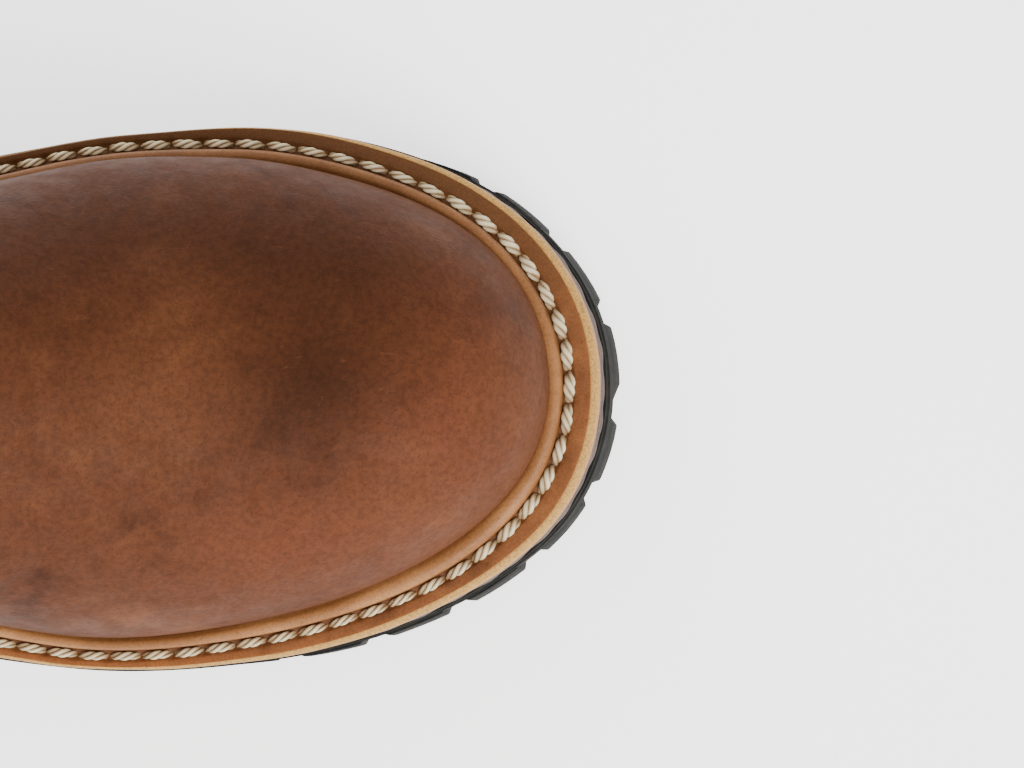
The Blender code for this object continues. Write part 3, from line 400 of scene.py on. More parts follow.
def welt_width(x, side):
    share = np.clip(share_of_last(x), 0.0, 1.0)
    return mix(WELT_HEEL_WIDTH, WELT_TOE_WIDTH, welt_share(share, side))


def square_to_sole(x, y, depth):
    """The points this far below the midsole's top, measured square to it."""
    reach = 0.0005
    slope = np.arctan((midsole_top(x + reach) - midsole_top(x - reach)) / (2 * reach))
    return np.stack([x + depth * np.sin(slope), y + 0 * x, midsole_top(x) - depth * np.cos(slope)], axis=-1)


# Soft creases of the quarters at the ankle. Columns: side, (sigma, row) places along the crease, half width in mm,
# depth in mm.
CREASES = (
    (LATERAL, ((0.70, 0.455), (0.60, 0.440), (0.50, 0.435)), 3.4, 0.75),
    (LATERAL, ((0.66, 0.520), (0.54, 0.505), (0.40, 0.520)), 3.8, 0.85),
    (LATERAL, ((0.62, 0.590), (0.48, 0.585), (0.33, 0.610)), 3.6, 0.60),
    (LATERAL, ((0.10, 0.600), (0.22, 0.585), (0.30, 0.560)), 3.0, 0.55),
    (MEDIAL, ((0.70, 0.450), (0.58, 0.440), (0.48, 0.430)), 3.4, 0.70),
    (MEDIAL, ((0.67, 0.515), (0.54, 0.510), (0.38, 0.515)), 4.0, 0.80),
    (MEDIAL, ((0.60, 0.600), (0.47, 0.590), (0.34, 0.600)), 3.4, 0.55),
    (MEDIAL, ((0.10, 0.610), (0.20, 0.590), (0.30, 0.570)), 3.0, 0.50),
)


def crease_depth(points, side):
    """How far the creases sink each point, in metres. A low ridge stands beside each trough."""
    depth = np.zeros(points.shape[:-1])
    for crease_side, places, width, sink in CREASES:
        t = np.linspace(0, 1, 49)
        a, b, c = (np.array(p) for p in places)
        line = np.outer((1 - t) ** 2, a) + np.outer(2 * t * (1 - t), 2 * b - (a + c) / 2) + np.outer(t * t, c)
        path = boot_point(line[:, 0], line[:, 1], crease_side)
        gaps = np.linalg.norm(points[..., None, :] - path, axis=-1) / MM
        near = gaps.min(axis=-1)
        weight = np.exp((near[..., None] - gaps) / 1.5)
        along = (weight * t).sum(axis=-1) / weight.sum(axis=-1)
        fade = np.sin(np.pi * np.clip(0.04 + 0.92 * along, 0, 1)) ** 0.7
        trough = np.exp(-(near / width) ** 2) - 0.38 * np.exp(-((near - 2.1 * width) / (0.9 * width)) ** 2)
        depth += np.where(np.sign(side) == crease_side, sink * MM * fade * trough, 0.0)
    return depth


def leather(sigma, row, side, offset):
    """A point of the quarters or what lies on them, with the ankle's creases pressed in."""
    points = on_boot(sigma, row, side, offset)
    sigma, row, side, _ = np.broadcast_arrays(sigma, row, side, offset)
    base = boot_point(sigma, row, side)
    return points - boot_normal(sigma, row, side) * crease_depth(base, side)[..., None]


# Mesh makers

def link(name, data):
    obj = bpy.data.objects.new(name, data)
    bpy.context.scene.collection.objects.link(obj)
    return obj


def mark_points(mesh, marks):
    """Puts shades on a mesh: a value for each point, by name."""
    for key, values in marks.items():
        layer = mesh.attributes.new(key, "FLOAT", "POINT")
        layer.data.foreach_set("value", np.ascontiguousarray(values, np.float32).ravel())


def finish_mesh(name, mesh, look, sharp):
    mesh.shade_smooth()
    mesh.set_sharp_from_angle(angle=math.radians(sharp))
    mesh.materials.append(look)
    return link(name, mesh)


def add_mesh(name, points, faces, look, sharp=38.0, attributes=None):
    mesh = bpy.data.meshes.new(name)
    mesh.from_pydata([tuple(p) for p in np.asarray(points, float).tolist()], [], faces)
    mark_points(mesh, attributes or {})
    work = bmesh.new()
    work.from_mesh(mesh)
    bmesh.ops.recalc_face_normals(work, faces=work.faces)
    work.to_mesh(mesh)
    work.free()
    return finish_mesh(name, mesh, look, sharp)


def lay_uvs(mesh, table):
    """Gives each corner of the mesh the UV of its point."""
    layer = mesh.uv_layers.new(name="along")
    index = np.empty(len(mesh.loops), np.int64)
    mesh.loops.foreach_get("vertex_index", index)
    layer.data.foreach_set("uv", table[index].astype(np.float32).ravel())


def hand_in(obj, slot, *nodes):
    """Hangs a piece on the frame's one body, for the nodes that it replaces."""
    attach(obj, "root")
    if nodes:
        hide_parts(*nodes)
    return obj


def grid_quads(rows, columns, start=0, closed_rows=False, closed_columns=False):
    """Quads of a grid of points numbered row by row."""
    i = np.arange(rows if closed_rows else rows - 1)
    j = np.arange(columns if closed_columns else columns - 1)
    i, j = (a.ravel() for a in np.meshgrid(i, j, indexing="ij"))
    i2, j2 = (i + 1) % rows, (j + 1) % columns
    corners = np.stack([i * columns + j, i * columns + j2, i2 * columns + j2, i2 * columns + j], axis=-1)
    return (corners + start).tolist()


def closed_sheet(name, outer, inner, look, **extra):
    """A closed body between two grids of points of one size."""
    rows, columns = outer.shape[:2]
    count = rows * columns
    points = np.concatenate([outer.reshape(-1, 3), inner.reshape(-1, 3)])
    faces = grid_quads(rows, columns) + [f[::-1] for f in grid_quads(rows, columns, count)]
    index = np.arange(count).reshape(rows, columns)
    border = np.concatenate([index[0, :], index[1:, -1], index[-1, -2::-1], index[-2:0:-1, 0]])
    after = np.roll(border, -1)
    faces += np.stack([border, border + count, after + count, after], axis=-1).tolist()
    attributes = extra.pop("attributes", None)
    if attributes:
        attributes = {key: np.concatenate([np.ravel(v), np.ravel(v)]) for key, v in attributes.items()}
    return add_mesh(name, points, faces, look, attributes=attributes, **extra)


# Distances from a cut edge at which a sheet's grid has a line, so that the edge comes out round
EDGE_STEPS = (0.00008, 0.0002, 0.00038, 0.0006, 0.0011)

# Depths below the boot's own surface, and the gap between a piece and the face it lies on
VAMP_DEPTH = 0.0017
VAMP_LINING_FACE = 0.00175
QUARTER_DEPTH = 0.0013
QUARTER_LINING_FACE = 0.00135
SKIN_GAP = 0.00005


# Materials

class Look:
    """A material under the making, with its coordinates in millimetres of the boot."""

    def __init__(self, name, colour, roughness, metallic=0.0):
        self.material = bpy.data.materials.new(name)
        self.material.use_nodes = True
        self.nodes = self.material.node_tree.nodes
        self.links = self.material.node_tree.links
        self.shader = self.nodes["Principled BSDF"]
        self.shader.inputs["Base Color"].default_value = (*colour, 1.0)
        self.shader.inputs["Roughness"].default_value = roughness
        self.shader.inputs["Metallic"].default_value = metallic
        place = self.nodes.new("ShaderNodeTexCoord")
        scaled = self.nodes.new("ShaderNodeVectorMath")
        scaled.operation = "SCALE"
        scaled.inputs["Scale"].default_value = 1000.0
        self.links.new(place.outputs["Object"], scaled.inputs[0])
        self.mm = scaled.outputs[0]
        self.uv = place.outputs["UV"]

    def put(self, socket, value):
        if isinstance(value, bpy.types.NodeSocket):
            self.links.new(value, socket)
        elif isinstance(value, tuple) and len(value) == 3 and socket.type == "RGBA":
            socket.default_value = (*value, 1.0)
        else:
            socket.default_value = value

    def mapped(self, scale=(1.0, 1.0, 1.0), turn=(0.0, 0.0, 0.0), shift=(0.0, 0.0, 0.0), vector=None):
        node = self.nodes.new("ShaderNodeMapping")
        self.put(node.inputs["Vector"], vector or self.mm)
        node.inputs["Scale"].default_value = scale
        node.inputs["Rotation"].default_value = tuple(math.radians(a) for a in turn)
        node.inputs["Location"].default_value = shift
        return node.outputs[0]

    def noise(self, size, detail=3.0, roughness=0.55, vector=None, distortion=0.0):
        node = self.nodes.new("ShaderNodeTexNoise")
        self.put(node.inputs["Vector"], vector or self.mm)
        node.inputs["Scale"].default_value = 1.0 / size
        node.inputs["Detail"].default_value = detail
        node.inputs["Roughness"].default_value = roughness
        node.inputs["Distortion"].default_value = distortion
        return node.outputs["Fac"]

    def cells(self, size, feature="F1"):
        node = self.nodes.new("ShaderNodeTexVoronoi")
        node.feature = feature
        self.put(node.inputs["Vector"], self.mm)
        node.inputs["Scale"].default_value = 1.0 / size
        return node.outputs["Distance"]

    def ramp(self, value, *stops):
        """A smooth map of a value. Stops are (place, number or colour)."""
        node = self.nodes.new("ShaderNodeValToRGB")
        self.put(node.inputs["Fac"], value)
        band = node.color_ramp
        band.interpolation = "EASE"
        while len(band.elements) < len(stops):
            band.elements.new(0.5)
        for element, (place, colour) in zip(band.elements, stops):
            element.position = place
            element.color = (*colour, 1.0) if isinstance(colour, tuple) else (colour, colour, colour, 1.0)
        return node.outputs["Color"]

    def maths(self, operation, a, b=0.0):
        node = self.nodes.new("ShaderNodeMath")
        node.operation = operation
        self.put(node.inputs[0], a)
        self.put(node.inputs[1], b)
        return node.outputs[0]

    def blend(self, share, a, b, mode="MIX"):
        node = self.nodes.new("ShaderNodeMix")
        node.data_type = "RGBA"
        node.blend_type = mode
        self.put(node.inputs[0], share)
        self.put(node.inputs[6], a)
        self.put(node.inputs[7], b)
        return node.outputs[2]

    def attribute(self, name):
        node = self.nodes.new("ShaderNodeAttribute")
        node.attribute_name = name
        return node.outputs["Fac"]

    def geometry(self, output):
        return self.nodes.new("ShaderNodeNewGeometry").outputs[output]

    def bump(self, height, depth, strength=1.0, below=None):
        """Adds relief this deep in millimetres."""
        node = self.nodes.new("ShaderNodeBump")
        node.inputs["Strength"].default_value = strength
        node.inputs["Distance"].default_value = depth * MM
        self.put(node.inputs["Height"], height)
        if below is not None:
            self.put(node.inputs["Normal"], below)
        return node.outputs["Normal"]

    def finish(self, colour=None, roughness=None, normal=None, **sockets):
        for name, value in (("Base Color", colour), ("Roughness", roughness), ("Normal", normal)):
            if value is not None:
                self.put(self.shader.inputs[name], value)
        for name, value in sockets.items():
            self.put(self.shader.inputs[name.replace("_", " ")], value)
        return self.material


def scratches(look, turn, length, gap, rarity, seed):
    """Fine lines in one direction: 1 on a line, 0 off it, broken up so that each is short."""
    stretched = look.mapped((1 / length, 1 / gap, 1 / length), turn, (seed, 2 * seed, 0.0))
    line = look.noise(1.0, 1.0, 0.4, stretched, 0.25)
    thin = look.ramp(look.maths("ABSOLUTE", look.maths("SUBTRACT", line, 0.5)), (0.0, 1.0), (0.012, 0.0))
    broken = look.noise(length * 0.8, 2.0, 0.5, look.mapped(shift=(seed, 0.0, seed)))
    where = look.ramp(broken, (rarity, 0.0), (rarity + 0.07, 1.0))
    return look.maths("MULTIPLY", thin, where)


def pull_up_leather(name, dark, mid, light):
    """Oiled pull-up leather: cloudy colour, fine pores, short pale scratches, paler where it is cut or bent, with
    painted shade and painted light from the points' marks.
    """
    look = Look(name, mid, 0.5)
    clouds = look.noise(26.0, 3.0, 0.5, distortion=0.3)
    patches = look.noise(6.5, 5.0, 0.6, distortion=0.3)
    cloudy = look.maths("ADD", look.maths("MULTIPLY", clouds, 0.66), look.maths("MULTIPLY", patches, 0.34))
    colour = look.ramp(cloudy, (0.30, dark), (0.50, mid), (0.72, light))
    # The marks: shade darkens, on the vamp as painted shade; edge pales, on the vamp partly as painted light and
    # sheen; warm is a warmer tone.
    for mark, tone in (("shade", dark), ("warm", (0.116, 0.034, 0.0145)), ("edge", light)):
        colour = look.blend(look.attribute(mark), colour, tone)
    freckles = look.ramp(look.noise(1.3, 4.0, 0.7), (0.32, 0.80), (0.64, 1.12))
    colour = look.blend(1.0, colour, freckles, "MULTIPLY")
    pores = look.ramp(look.cells(0.95), (0.10, 0.0), (0.30, 1.0))
    colour = look.blend(look.maths("MULTIPLY", look.maths("SUBTRACT", 1.0, pores), 0.35), colour, dark)
    lines = look.maths("MAXIMUM", scratches(look, (0, 0, 24), 9.0, 1.4, 0.56, 3.0),
                       look.maths("MAXIMUM", scratches(look, (0, 0, -38), 7.0, 1.6, 0.58, 11.0),
                                  scratches(look, (25, 70, 80), 6.0, 1.5, 0.60, 19.0)))
    colour = look.blend(look.maths("MULTIPLY", lines, 0.42), colour, light)
    grain = look.cells(0.62, "SMOOTH_F1")
    relief = look.bump(look.noise(3.2, 3.0, 0.5), 0.16, 0.5)
    relief = look.bump(grain, 0.10, 0.45, relief)
    relief = look.bump(pores, 0.07, 0.5, relief)
    relief = look.bump(look.maths("SUBTRACT", 1.0, lines), 0.05, 0.35, relief)
    rough = look.ramp(look.noise(5.0, 4.0, 0.6), (0.3, 0.58), (0.7, 0.72))
    return look.finish(colour, rough, relief, Specular_IOR_Level=0.08)


def cut_leather(name, base, dark, light, strand=1.0):
    """The raw edge or flesh side of leather: short fibres, specks and a dry face."""
    look = Look(name, base, 0.8)
    fibres = look.noise(0.8 * strand, 5.0, 0.65, look.mapped((0.5, 0.5, 2.2)))
    cloud = look.noise(9.0, 3.0)
    colour = look.ramp(fibres, (0.30, dark), (0.52, base), (0.74, light))
    colour = look.blend(0.5, colour, look.ramp(cloud, (0.3, 0.82), (0.7, 1.12)), "MULTIPLY")
    return look.finish(colour, look.ramp(fibres, (0.3, 0.66), (0.7, 0.88)), look.bump(fibres, 0.16, 0.7))


def welt_look():
    """Veg-tanned welt: orange-tan flat, with painted shadow in the groove and on the inner side, and a pale cut
    bevel.
    """
    look = Look("welt_leather_look", (0.33, 0.14, 0.055), 0.5)
    tan = look.noise(11.0, 4.0, 0.6, distortion=0.4)
    tones = (0.32, (0.115, 0.038, 0.011)), (0.5, (0.165, 0.056, 0.0165)), (0.70, (0.215, 0.076, 0.022))
    base = look.ramp(tan, *tones)
    base = look.blend(look.maths("MULTIPLY", look.attribute("edge_glow"), 0.60), base, (0.30, 0.088, 0.013))
    # Painted shadow on the welt's inner side, which faces away from the key light.
    base = look.blend(look.attribute("painted_shadow_side"), base, (0.075, 0.0265, 0.0050))
    rib = look.ramp(look.noise(14.0, 3.0, 0.5), (0.35, (0.228, 0.092, 0.029)), (0.65, (0.322, 0.140, 0.048)))
    # The rib takes the same painted shadow on the inner side.
    rib = look.blend(look.maths("MULTIPLY", look.attribute("painted_shadow_side"), 0.60), rib, (0.115, 0.042, 0.013))
    base = look.blend(look.attribute("rib"), base, rib)
    # Painted shadow in the groove beside the rib and round the stitch holes.
    base = look.blend(look.attribute("groove"), base, (0.084, 0.0300, 0.0080))
    fibres = look.noise(0.55, 4.0, 0.65)
    cream = look.ramp(fibres, (0.32, (0.29, 0.143, 0.032)), (0.60, (0.45, 0.250, 0.066)))
    colour = look.blend(look.attribute("bevel"), base, cream)
    specks = look.ramp(look.noise(0.5, 3.0, 0.7), (0.34, 0.84), (0.64, 1.12))
    colour = look.blend(1.0, colour, specks, "MULTIPLY")
    stains = look.ramp(look.noise(2.3, 4.0, 0.7, look.mapped(shift=(7, 3, 1))), (0.60, 0.0), (0.74, 0.55))
    colour = look.blend(stains, colour, (0.055, 0.019, 0.005))
    relief = look.bump(look.noise(1.3, 4.0, 0.6), 0.18, 0.5)
    relief = look.bump(fibres, 0.13, 0.4, relief)
    rough = look.blend(look.attribute("rib"), look.ramp(fibres, (0.3, 0.56), (0.7, 0.74)), (0.46, 0.46, 0.46))
    return look.finish(colour, rough, relief, Specular_IOR_Level=0.22)


def thread_look(name, base, dark, light, shaded=False):
    """Waxed twisted thread, with fibres that run along the plies; shaded, it also takes painted shade from its
    points' marks.
    """
    look = Look(name, base, 0.55)
    fibres = look.noise(1.0, 3.0, 0.6, look.mapped((6.0, 60.0, 1.0), vector=look.uv))
    colour = look.ramp(fibres, (0.28, dark), (0.5, base), (0.72, light))
    soil = look.ramp(look.noise(4.5, 3.0, 0.6), (0.48, 1.0), (0.78, 0.80))
    colour = look.blend(1.0, colour, soil, "MULTIPLY")
    if shaded:
        # The tan mark is partly the thread's golden wax and partly painted shade at each stitch's heel-ward end and
        # where it dives into its holes.
        colour = look.blend(look.maths("MULTIPLY", look.attribute("tan"), 0.7), colour, (0.42, 0.285, 0.115))
        # Painted shade in the gaps between the plies.
        colour = look.blend(look.attribute("crevice_shade"), colour, (0.23, 0.130, 0.048))
    rough = look.ramp(fibres, (0.3, 0.42), (0.7, 0.62))
    return look.finish(colour, rough, look.bump(fibres, 0.06, 0.6), Sheen_Weight=0.15)


def rubber_look():
    """Dusty black rubber."""
    look = Look("rubber_look", (0.03, 0.03, 0.028), 0.7)
    dust = look.ramp(look.noise(7.0, 5.0, 0.65), (0.42, 0.0), (0.75, 0.55))
    fine = look.noise(0.5, 4.0, 0.7)
    colour = look.ramp(fine, (0.3, (0.0055, 0.0055, 0.0052)), (0.7, (0.014, 0.0135, 0.0125)))
    colour = look.blend(dust, colour, (0.030, 0.027, 0.022))
    relief = look.bump(look.noise(0.35, 3.0, 0.6), 0.05, 0.6)
    return look.finish(colour, look.ramp(fine, (0.3, 0.72), (0.7, 0.88)), relief, Specular_IOR_Level=0.06)


def stacked_look():
    """Edge-dressed leather of the heel stack and midsole: dark, with fine level layers."""
    look = Look("stacked_leather_look", (0.13, 0.075, 0.05), 0.6)
    layers = look.noise(1.0, 4.0, 0.6, look.mapped((0.07, 0.07, 2.6)))
    specks = look.noise(0.7, 4.0, 0.7)
    tones = (0.3, (0.034, 0.017, 0.010)), (0.52, (0.070, 0.036, 0.021)), (0.74, (0.120, 0.066, 0.040))
    colour = look.ramp(layers, *tones)
    colour = look.blend(1.0, colour, look.ramp(specks, (0.34, 0.72), (0.64, 1.18)), "MULTIPLY")
    relief = look.bump(layers, 0.14, 0.5)
    relief = look.bump(specks, 0.10, 0.5, relief)
    return look.finish(colour, look.ramp(specks, (0.3, 0.48), (0.7, 0.72)), relief)


def midsole_look():
    """The midsole's edge: grey-brown, specked, with the shine of edge dressing worn off."""
    look = Look("midsole_look", (0.10, 0.062, 0.048), 0.7)
    specks = look.noise(0.6, 4.0, 0.7)
    cloud = look.noise(6.0, 3.0)
    tones = (0.32, (0.040, 0.022, 0.018)), (0.52, (0.088, 0.056, 0.046)), (0.72, (0.165, 0.118, 0.100))
    colour = look.ramp(specks, *tones)
    colour = look.blend(1.0, colour, look.ramp(cloud, (0.3, 0.80), (0.7, 1.15)), "MULTIPLY")
    rough = look.ramp(specks, (0.3, 0.6), (0.7, 0.8))
    return look.finish(colour, rough, look.bump(specks, 0.10, 0.5), Specular_IOR_Level=0.3)


def brass_look():
    """Antique brass: dark in the hollows, rubbed brighter on the crowns."""
    look = Look("antique_brass_look", (0.30, 0.20, 0.09), 0.35, 1.0)
    worn = look.ramp(look.noise(1.6, 4.0, 0.6), (0.35, (0.12, 0.072, 0.035)), (0.68, (0.42, 0.28, 0.13)))
    crowns = look.ramp(look.geometry("Pointiness"), (0.48, 0.0), (0.58, 0.7))
    worn = look.blend(crowns, worn, (0.55, 0.40, 0.20))
    fine = look.noise(0.3, 3.0, 0.6)
    return look.finish(worn, look.ramp(fine, (0.3, 0.28), (0.7, 0.46)), look.bump(fine, 0.015, 0.5))


def lace_look():
    """Round braided cord, with crossing strands drawn from its own length and turn."""
    look = Look("lace_look", (0.10, 0.055, 0.03), 0.75)
    strands = []
    for slant in (1.0, -1.0):
        wave = look.nodes.new("ShaderNodeTexWave")
        wave.wave_type = "BANDS"
        wave.bands_direction = "X"
        look.put(wave.inputs["Vector"], look.mapped((1.0, 1.0, 1.0), (0, 0, 45.0 * slant), vector=look.uv))
        wave.inputs["Scale"].default_value = 2.1
        wave.inputs["Distortion"].default_value = 0.3
        strands.append(wave.outputs["Fac"])
    braid = look.maths("MULTIPLY", *strands)
    fibre = look.noise(0.35, 3.0, 0.7)
    # The colour darkens towards the braid's low places between the strands: painted shade.
    tones = (0.0, (0.016, 0.008, 0.004)), (0.35, (0.052, 0.025, 0.012)), (1.0, (0.095, 0.050, 0.027))
    colour = look.ramp(braid, *tones)
    colour = look.blend(1.0, colour, look.ramp(fibre, (0.3, 0.80), (0.7, 1.2)), "MULTIPLY")
    relief = look.bump(braid, 0.28, 0.8)
    rough = look.ramp(fibre, (0.3, 0.62), (0.7, 0.86))
    return look.finish(colour, rough, look.bump(fibre, 0.05, 0.5, relief), Sheen_Weight=0.2)


DARK, MID, LIGHT = (0.037, 0.0110, 0.0036), (0.075, 0.0236, 0.0090), (0.114, 0.0396, 0.0155)
UPPER_LOOK = pull_up_leather("upper_leather_look", DARK, MID, LIGHT)
OVERLAY_LOOK = pull_up_leather(
    "overlay_leather_look", (0.034, 0.0100, 0.0034), (0.069, 0.0215, 0.0086), (0.104, 0.0355, 0.0150))
LINING_LOOK = cut_leather("lining_look", (0.33, 0.19, 0.095), (0.23, 0.125, 0.058), (0.43, 0.27, 0.15), 1.6)
INSOLE_LOOK = cut_leather("insole_look", (0.32, 0.185, 0.09), (0.21, 0.115, 0.052), (0.41, 0.255, 0.14))
WELT_LOOK = welt_look()
CREAM_THREAD = thread_look(
    "welt_thread_look", (0.88, 0.76, 0.48), (0.70, 0.56, 0.31), (0.95, 0.88, 0.66), shaded=True)
TAN_THREAD = thread_look("upper_thread_look", (0.29, 0.175, 0.075), (0.19, 0.11, 0.045), (0.40, 0.26, 0.13))
RUBBER_LOOK = rubber_look()
STACKED_LOOK = stacked_look()
MIDSOLE_LOOK = midsole_look()
BRASS_LOOK = brass_look()
LACE_LOOK = lace_look()

# Shades of the vamp. Columns: x and y of the middle, half length along x and half width, all in mm, and strength.
# DARK_PATCHES are partly painted shade, strongest on the inner side, which faces away from the key light, and
# partly darker clouds of the leather.
DARK_PATCHES = (
    (204, 25, 22, 14, 0.75), (203, -1, 13, 11, 0.95), (166, 33, 26, 14, 0.55), (216, 12, 14, 12, 0.20),
    (150, 18, 24, 20, 0.35),
)
# LIGHT_PATCHES are partly painted light on the outer side and the toe, which face the key light, and partly leather
# paled where it is stretched over the last.
LIGHT_PATCHES = (
    (172, -5, 14, 12, 0.50), (226, -24, 15, 11, 0.28), (198, -32, 20, 9, 0.20), (172, -36, 18, 9, 0.10),
    (241, 2, 7, 13, 0.30),
)
WARM_PATCHES = (
    (228, -13, 14, 15, 0.55), (205, -30, 20, 10, 0.50), (236, 6, 9, 14, 0.35), (190, -34, 16, 9, 0.35),
)


def patches(points, table):
    shade = np.zeros(points.shape[:-1])
    for x, y, long, wide, strength in table:
        gap = ((points[..., 0] / MM - x) / long) ** 2 + ((points[..., 1] / MM - y) / wide) ** 2
        shade += strength * np.exp(-gap)
    return np.clip(shade, 0, 1)


def edge_draw(gap, radius=0.0006):
    """How far a sheet's face draws in this near a cut edge, so that the edge is round."""
    u = np.clip(1 - gap / radius, 0.0, 1.0)
    return radius * (1 - np.sqrt(np.maximum(1 - u * u, 0.0)))


def both_sides(outer_half, inner_half):
    """One line from the outer side's front edge to the inner's, of two that start on the middle line."""
    return np.concatenate([outer_half[::-1], inner_half[1:]])


def side_labels(steps):
    return np.concatenate([np.full(steps + 1, LATERAL), np.full(steps, MEDIAL)])


def vamp():
    """The vamp, from one quarter's edge over the toe to the other's, tucked a little way under both."""
    steps, tuck = 84, 0.012
    near_throat = THROAT - np.array((0.0,) + EDGE_STEPS[:4]) / FRONT_LENGTH
    rows = np.unique(np.concatenate([[0.0, 0.010], np.linspace(0.020, THROAT, 96)[:-1], near_throat]))
    side = side_labels(steps)
    outer, inner, edge = [], [], []
    for row in rows:
        starts = [float(seam_sigma(row, s)) - tuck for s in (LATERAL, MEDIAL)]
        sigma = both_sides(*((start + (1 - start) * np.linspace(0, 1, steps + 1))[::-1] for start in starts))
        gap = (THROAT - row) * FRONT_LENGTH
        drop = edge_draw(gap)
        outer.append(on_boot(sigma, row, side, -drop))
        inner.append(on_boot(sigma, row, side, -VAMP_DEPTH + drop * 0.5))
        # pale: paler leather by the throat's cut edge, and low down by the welt partly painted sheen and partly
        # leather paled where it is stretched.
        pale = 0.6 * math.exp(-gap / 0.0015) + 0.55 * math.exp(-abs(row - 0.03) / 0.02)
        edge.append(np.full(len(sigma), pale))
    outer, inner = np.array(outer), np.array(inner)
    marks = {
        # shade: on the vamp, painted shade from DARK_PATCHES, partly darker clouds of the leather.
        "shade": patches(outer, DARK_PATCHES),
        "warm": patches(outer, WARM_PATCHES),
        # edge: paler leather by the cut edge, with painted sheen low down by the welt and painted light from
        # LIGHT_PATCHES.
        "edge": np.clip(np.array(edge) + patches(outer, LIGHT_PATCHES), 0, 1),
    }
    piece = closed_sheet("vamp", outer, inner, UPPER_LOOK, attributes=marks, sharp=60)
    return hand_in(piece, "upper_leather", "upper")


def rear_grid(rows, inset):
    """Sigma, side and distance from the cut edge on the quarters' grid, from the outer side round the back."""
    steps, reach = 78, 0.01
    sigma, gaps = [], []
    for row in rows:
        places, distances = [], []
        for s in (LATERAL, MEDIAL):
            edge = float(seam_sigma(row, s))
            ends = boot_point(np.array([edge, edge - reach]), row, s)
            per_sigma = float(np.linalg.norm(ends[0] - ends[1])) / reach
            near = edge - np.array((0.0,) + EDGE_STEPS) / per_sigma - inset / per_sigma
            line = np.concatenate([np.linspace(0, near[-1], steps - len(EDGE_STEPS) + 1), near[-2::-1]])
            places.append(line)
            distances.append((edge - line) * per_sigma - inset)
        sigma.append(both_sides(*places))
        gaps.append(both_sides(*distances))
    return np.array(sigma), np.tile(side_labels(steps), (len(rows), 1)), np.array(gaps)


def cut_shade(gap, near_share):
    """Paler leather by a cut edge: most of it within a millimetre, the rest within several."""
    return np.clip(near_share * np.exp(-gap / 0.0012) + (1 - near_share) * np.exp(-gap / 0.006), 0, 1)


def quarters():
    """Both quarters and the shaft in one, cut at the seam, the lacing gap and the collar."""
    top = 1 - np.array((0.0,) + EDGE_STEPS) / FRONT_LENGTH
    rows = np.unique(np.concatenate([[0.0, 0.012, RIB_ROW, LEDGE_ROW], np.linspace(0.03, top[-1], 168), top]))
    sigma, side, gap = rear_grid(rows, 0.0)
    row = np.broadcast_to(rows[:, None], sigma.shape)
    top_gap = (1 - row) * FRONT_LENGTH
    draw = np.maximum(edge_draw(gap), edge_draw(top_gap))
    outer = leather(sigma, row, side, quarter_step(row) - draw)
    inner = leather(sigma, row, side, -QUARTER_DEPTH + 0.6 * draw)
    marks = {
        "edge": cut_shade(np.minimum(gap, top_gap), 0.75),
        "shade": 0.175 * ease((row - 0.45) / 0.4),
        "warm": np.zeros(row.shape),
    }
    piece = closed_sheet("quarters", outer, inner, UPPER_LOOK, attributes=marks, sharp=60)
    return hand_in(piece, "upper_leather", "upper")


def linings():
    """Glove-leather lining inside the quarters and the vamp."""
    near_top = 1 - np.array((0.0004, 0.0007, 0.0012)) / FRONT_LENGTH
    rows = np.unique(np.concatenate([np.linspace(0.0, 0.995, 110), near_top]))
    sigma, side, gap = rear_grid(rows, 0.0006)
    row = np.broadcast_to(rows[:, None], sigma.shape)
    draw = np.maximum(edge_draw(gap, 0.0005), edge_draw((1 - row) * FRONT_LENGTH - 0.0004, 0.0005))
    outer = leather(sigma, row, side, -QUARTER_LINING_FACE - 0.3 * draw)
    inner = leather(sigma, row, side, -WALL + draw)
    hand_in(closed_sheet("quarter_lining", outer, inner, LINING_LOOK, sharp=60), "insole_leather", "upper")
    side = side_labels(40)
    outer, inner = [], []
    for row in np.linspace(0.0, THROAT - 0.0008 / FRONT_LENGTH, 50):
        starts = [float(seam_sigma(row, s)) - 0.01 for s in (LATERAL, MEDIAL)]
        sigma = np.concatenate([np.linspace(starts[0], 1, 41), np.linspace(1, starts[1], 41)[1:]])
        outer.append(on_boot(sigma, row, side, -VAMP_LINING_FACE))
        inner.append(on_boot(sigma, row, side, -WALL))
    piece = closed_sheet("vamp_lining", np.array(outer), np.array(inner), LINING_LOOK, sharp=60)
    hand_in(piece, "insole_leather", "upper")


COUNTER_LOW = LEDGE_ROW
COUNTER_SHARE = 9 / 12      # of the way from the back to the quarter's front edge
BACKSTAY_SHARE = 1 / 12


def counter_top(u):
    rise = np.cos(math.pi / 2 * np.clip(u, 0, 1) ** 1.4)
    return COUNTER_LOW + 0.02 + (COUNTER_TOP - COUNTER_LOW - 0.02) * rise


def backstay_top(u):
    return 0.985 + 0 * u


def overlay_grid(share, low, top_of, columns, rows, edge_scale):
    """Grid of a piece over the quarters round the back, closer at its cut edges, from outer to inner end."""
    fine = np.array([0.0, 0.004, 0.010, 0.020, 0.034]) * edge_scale
    u = np.unique(np.concatenate([np.linspace(-1, 1, 2 * columns + 1), -1 + fine, 1 - fine]))
    v = np.unique(np.concatenate([np.linspace(0, 1, rows + 1), fine, 1 - fine]))
    u, v = np.meshgrid(u, v)
    row = mix(low, top_of(np.abs(u)), v)
    side = np.where(u > 0, MEDIAL, LATERAL)
    return seam_sigma(row, side) * share * np.abs(u), row, side


def nearest_edge(grid, *edges):
    """Distance of each point of a grid from the nearest of its edge lines."""
    return np.minimum.reduce([np.linalg.norm(grid - edge, axis=-1) for edge in edges])


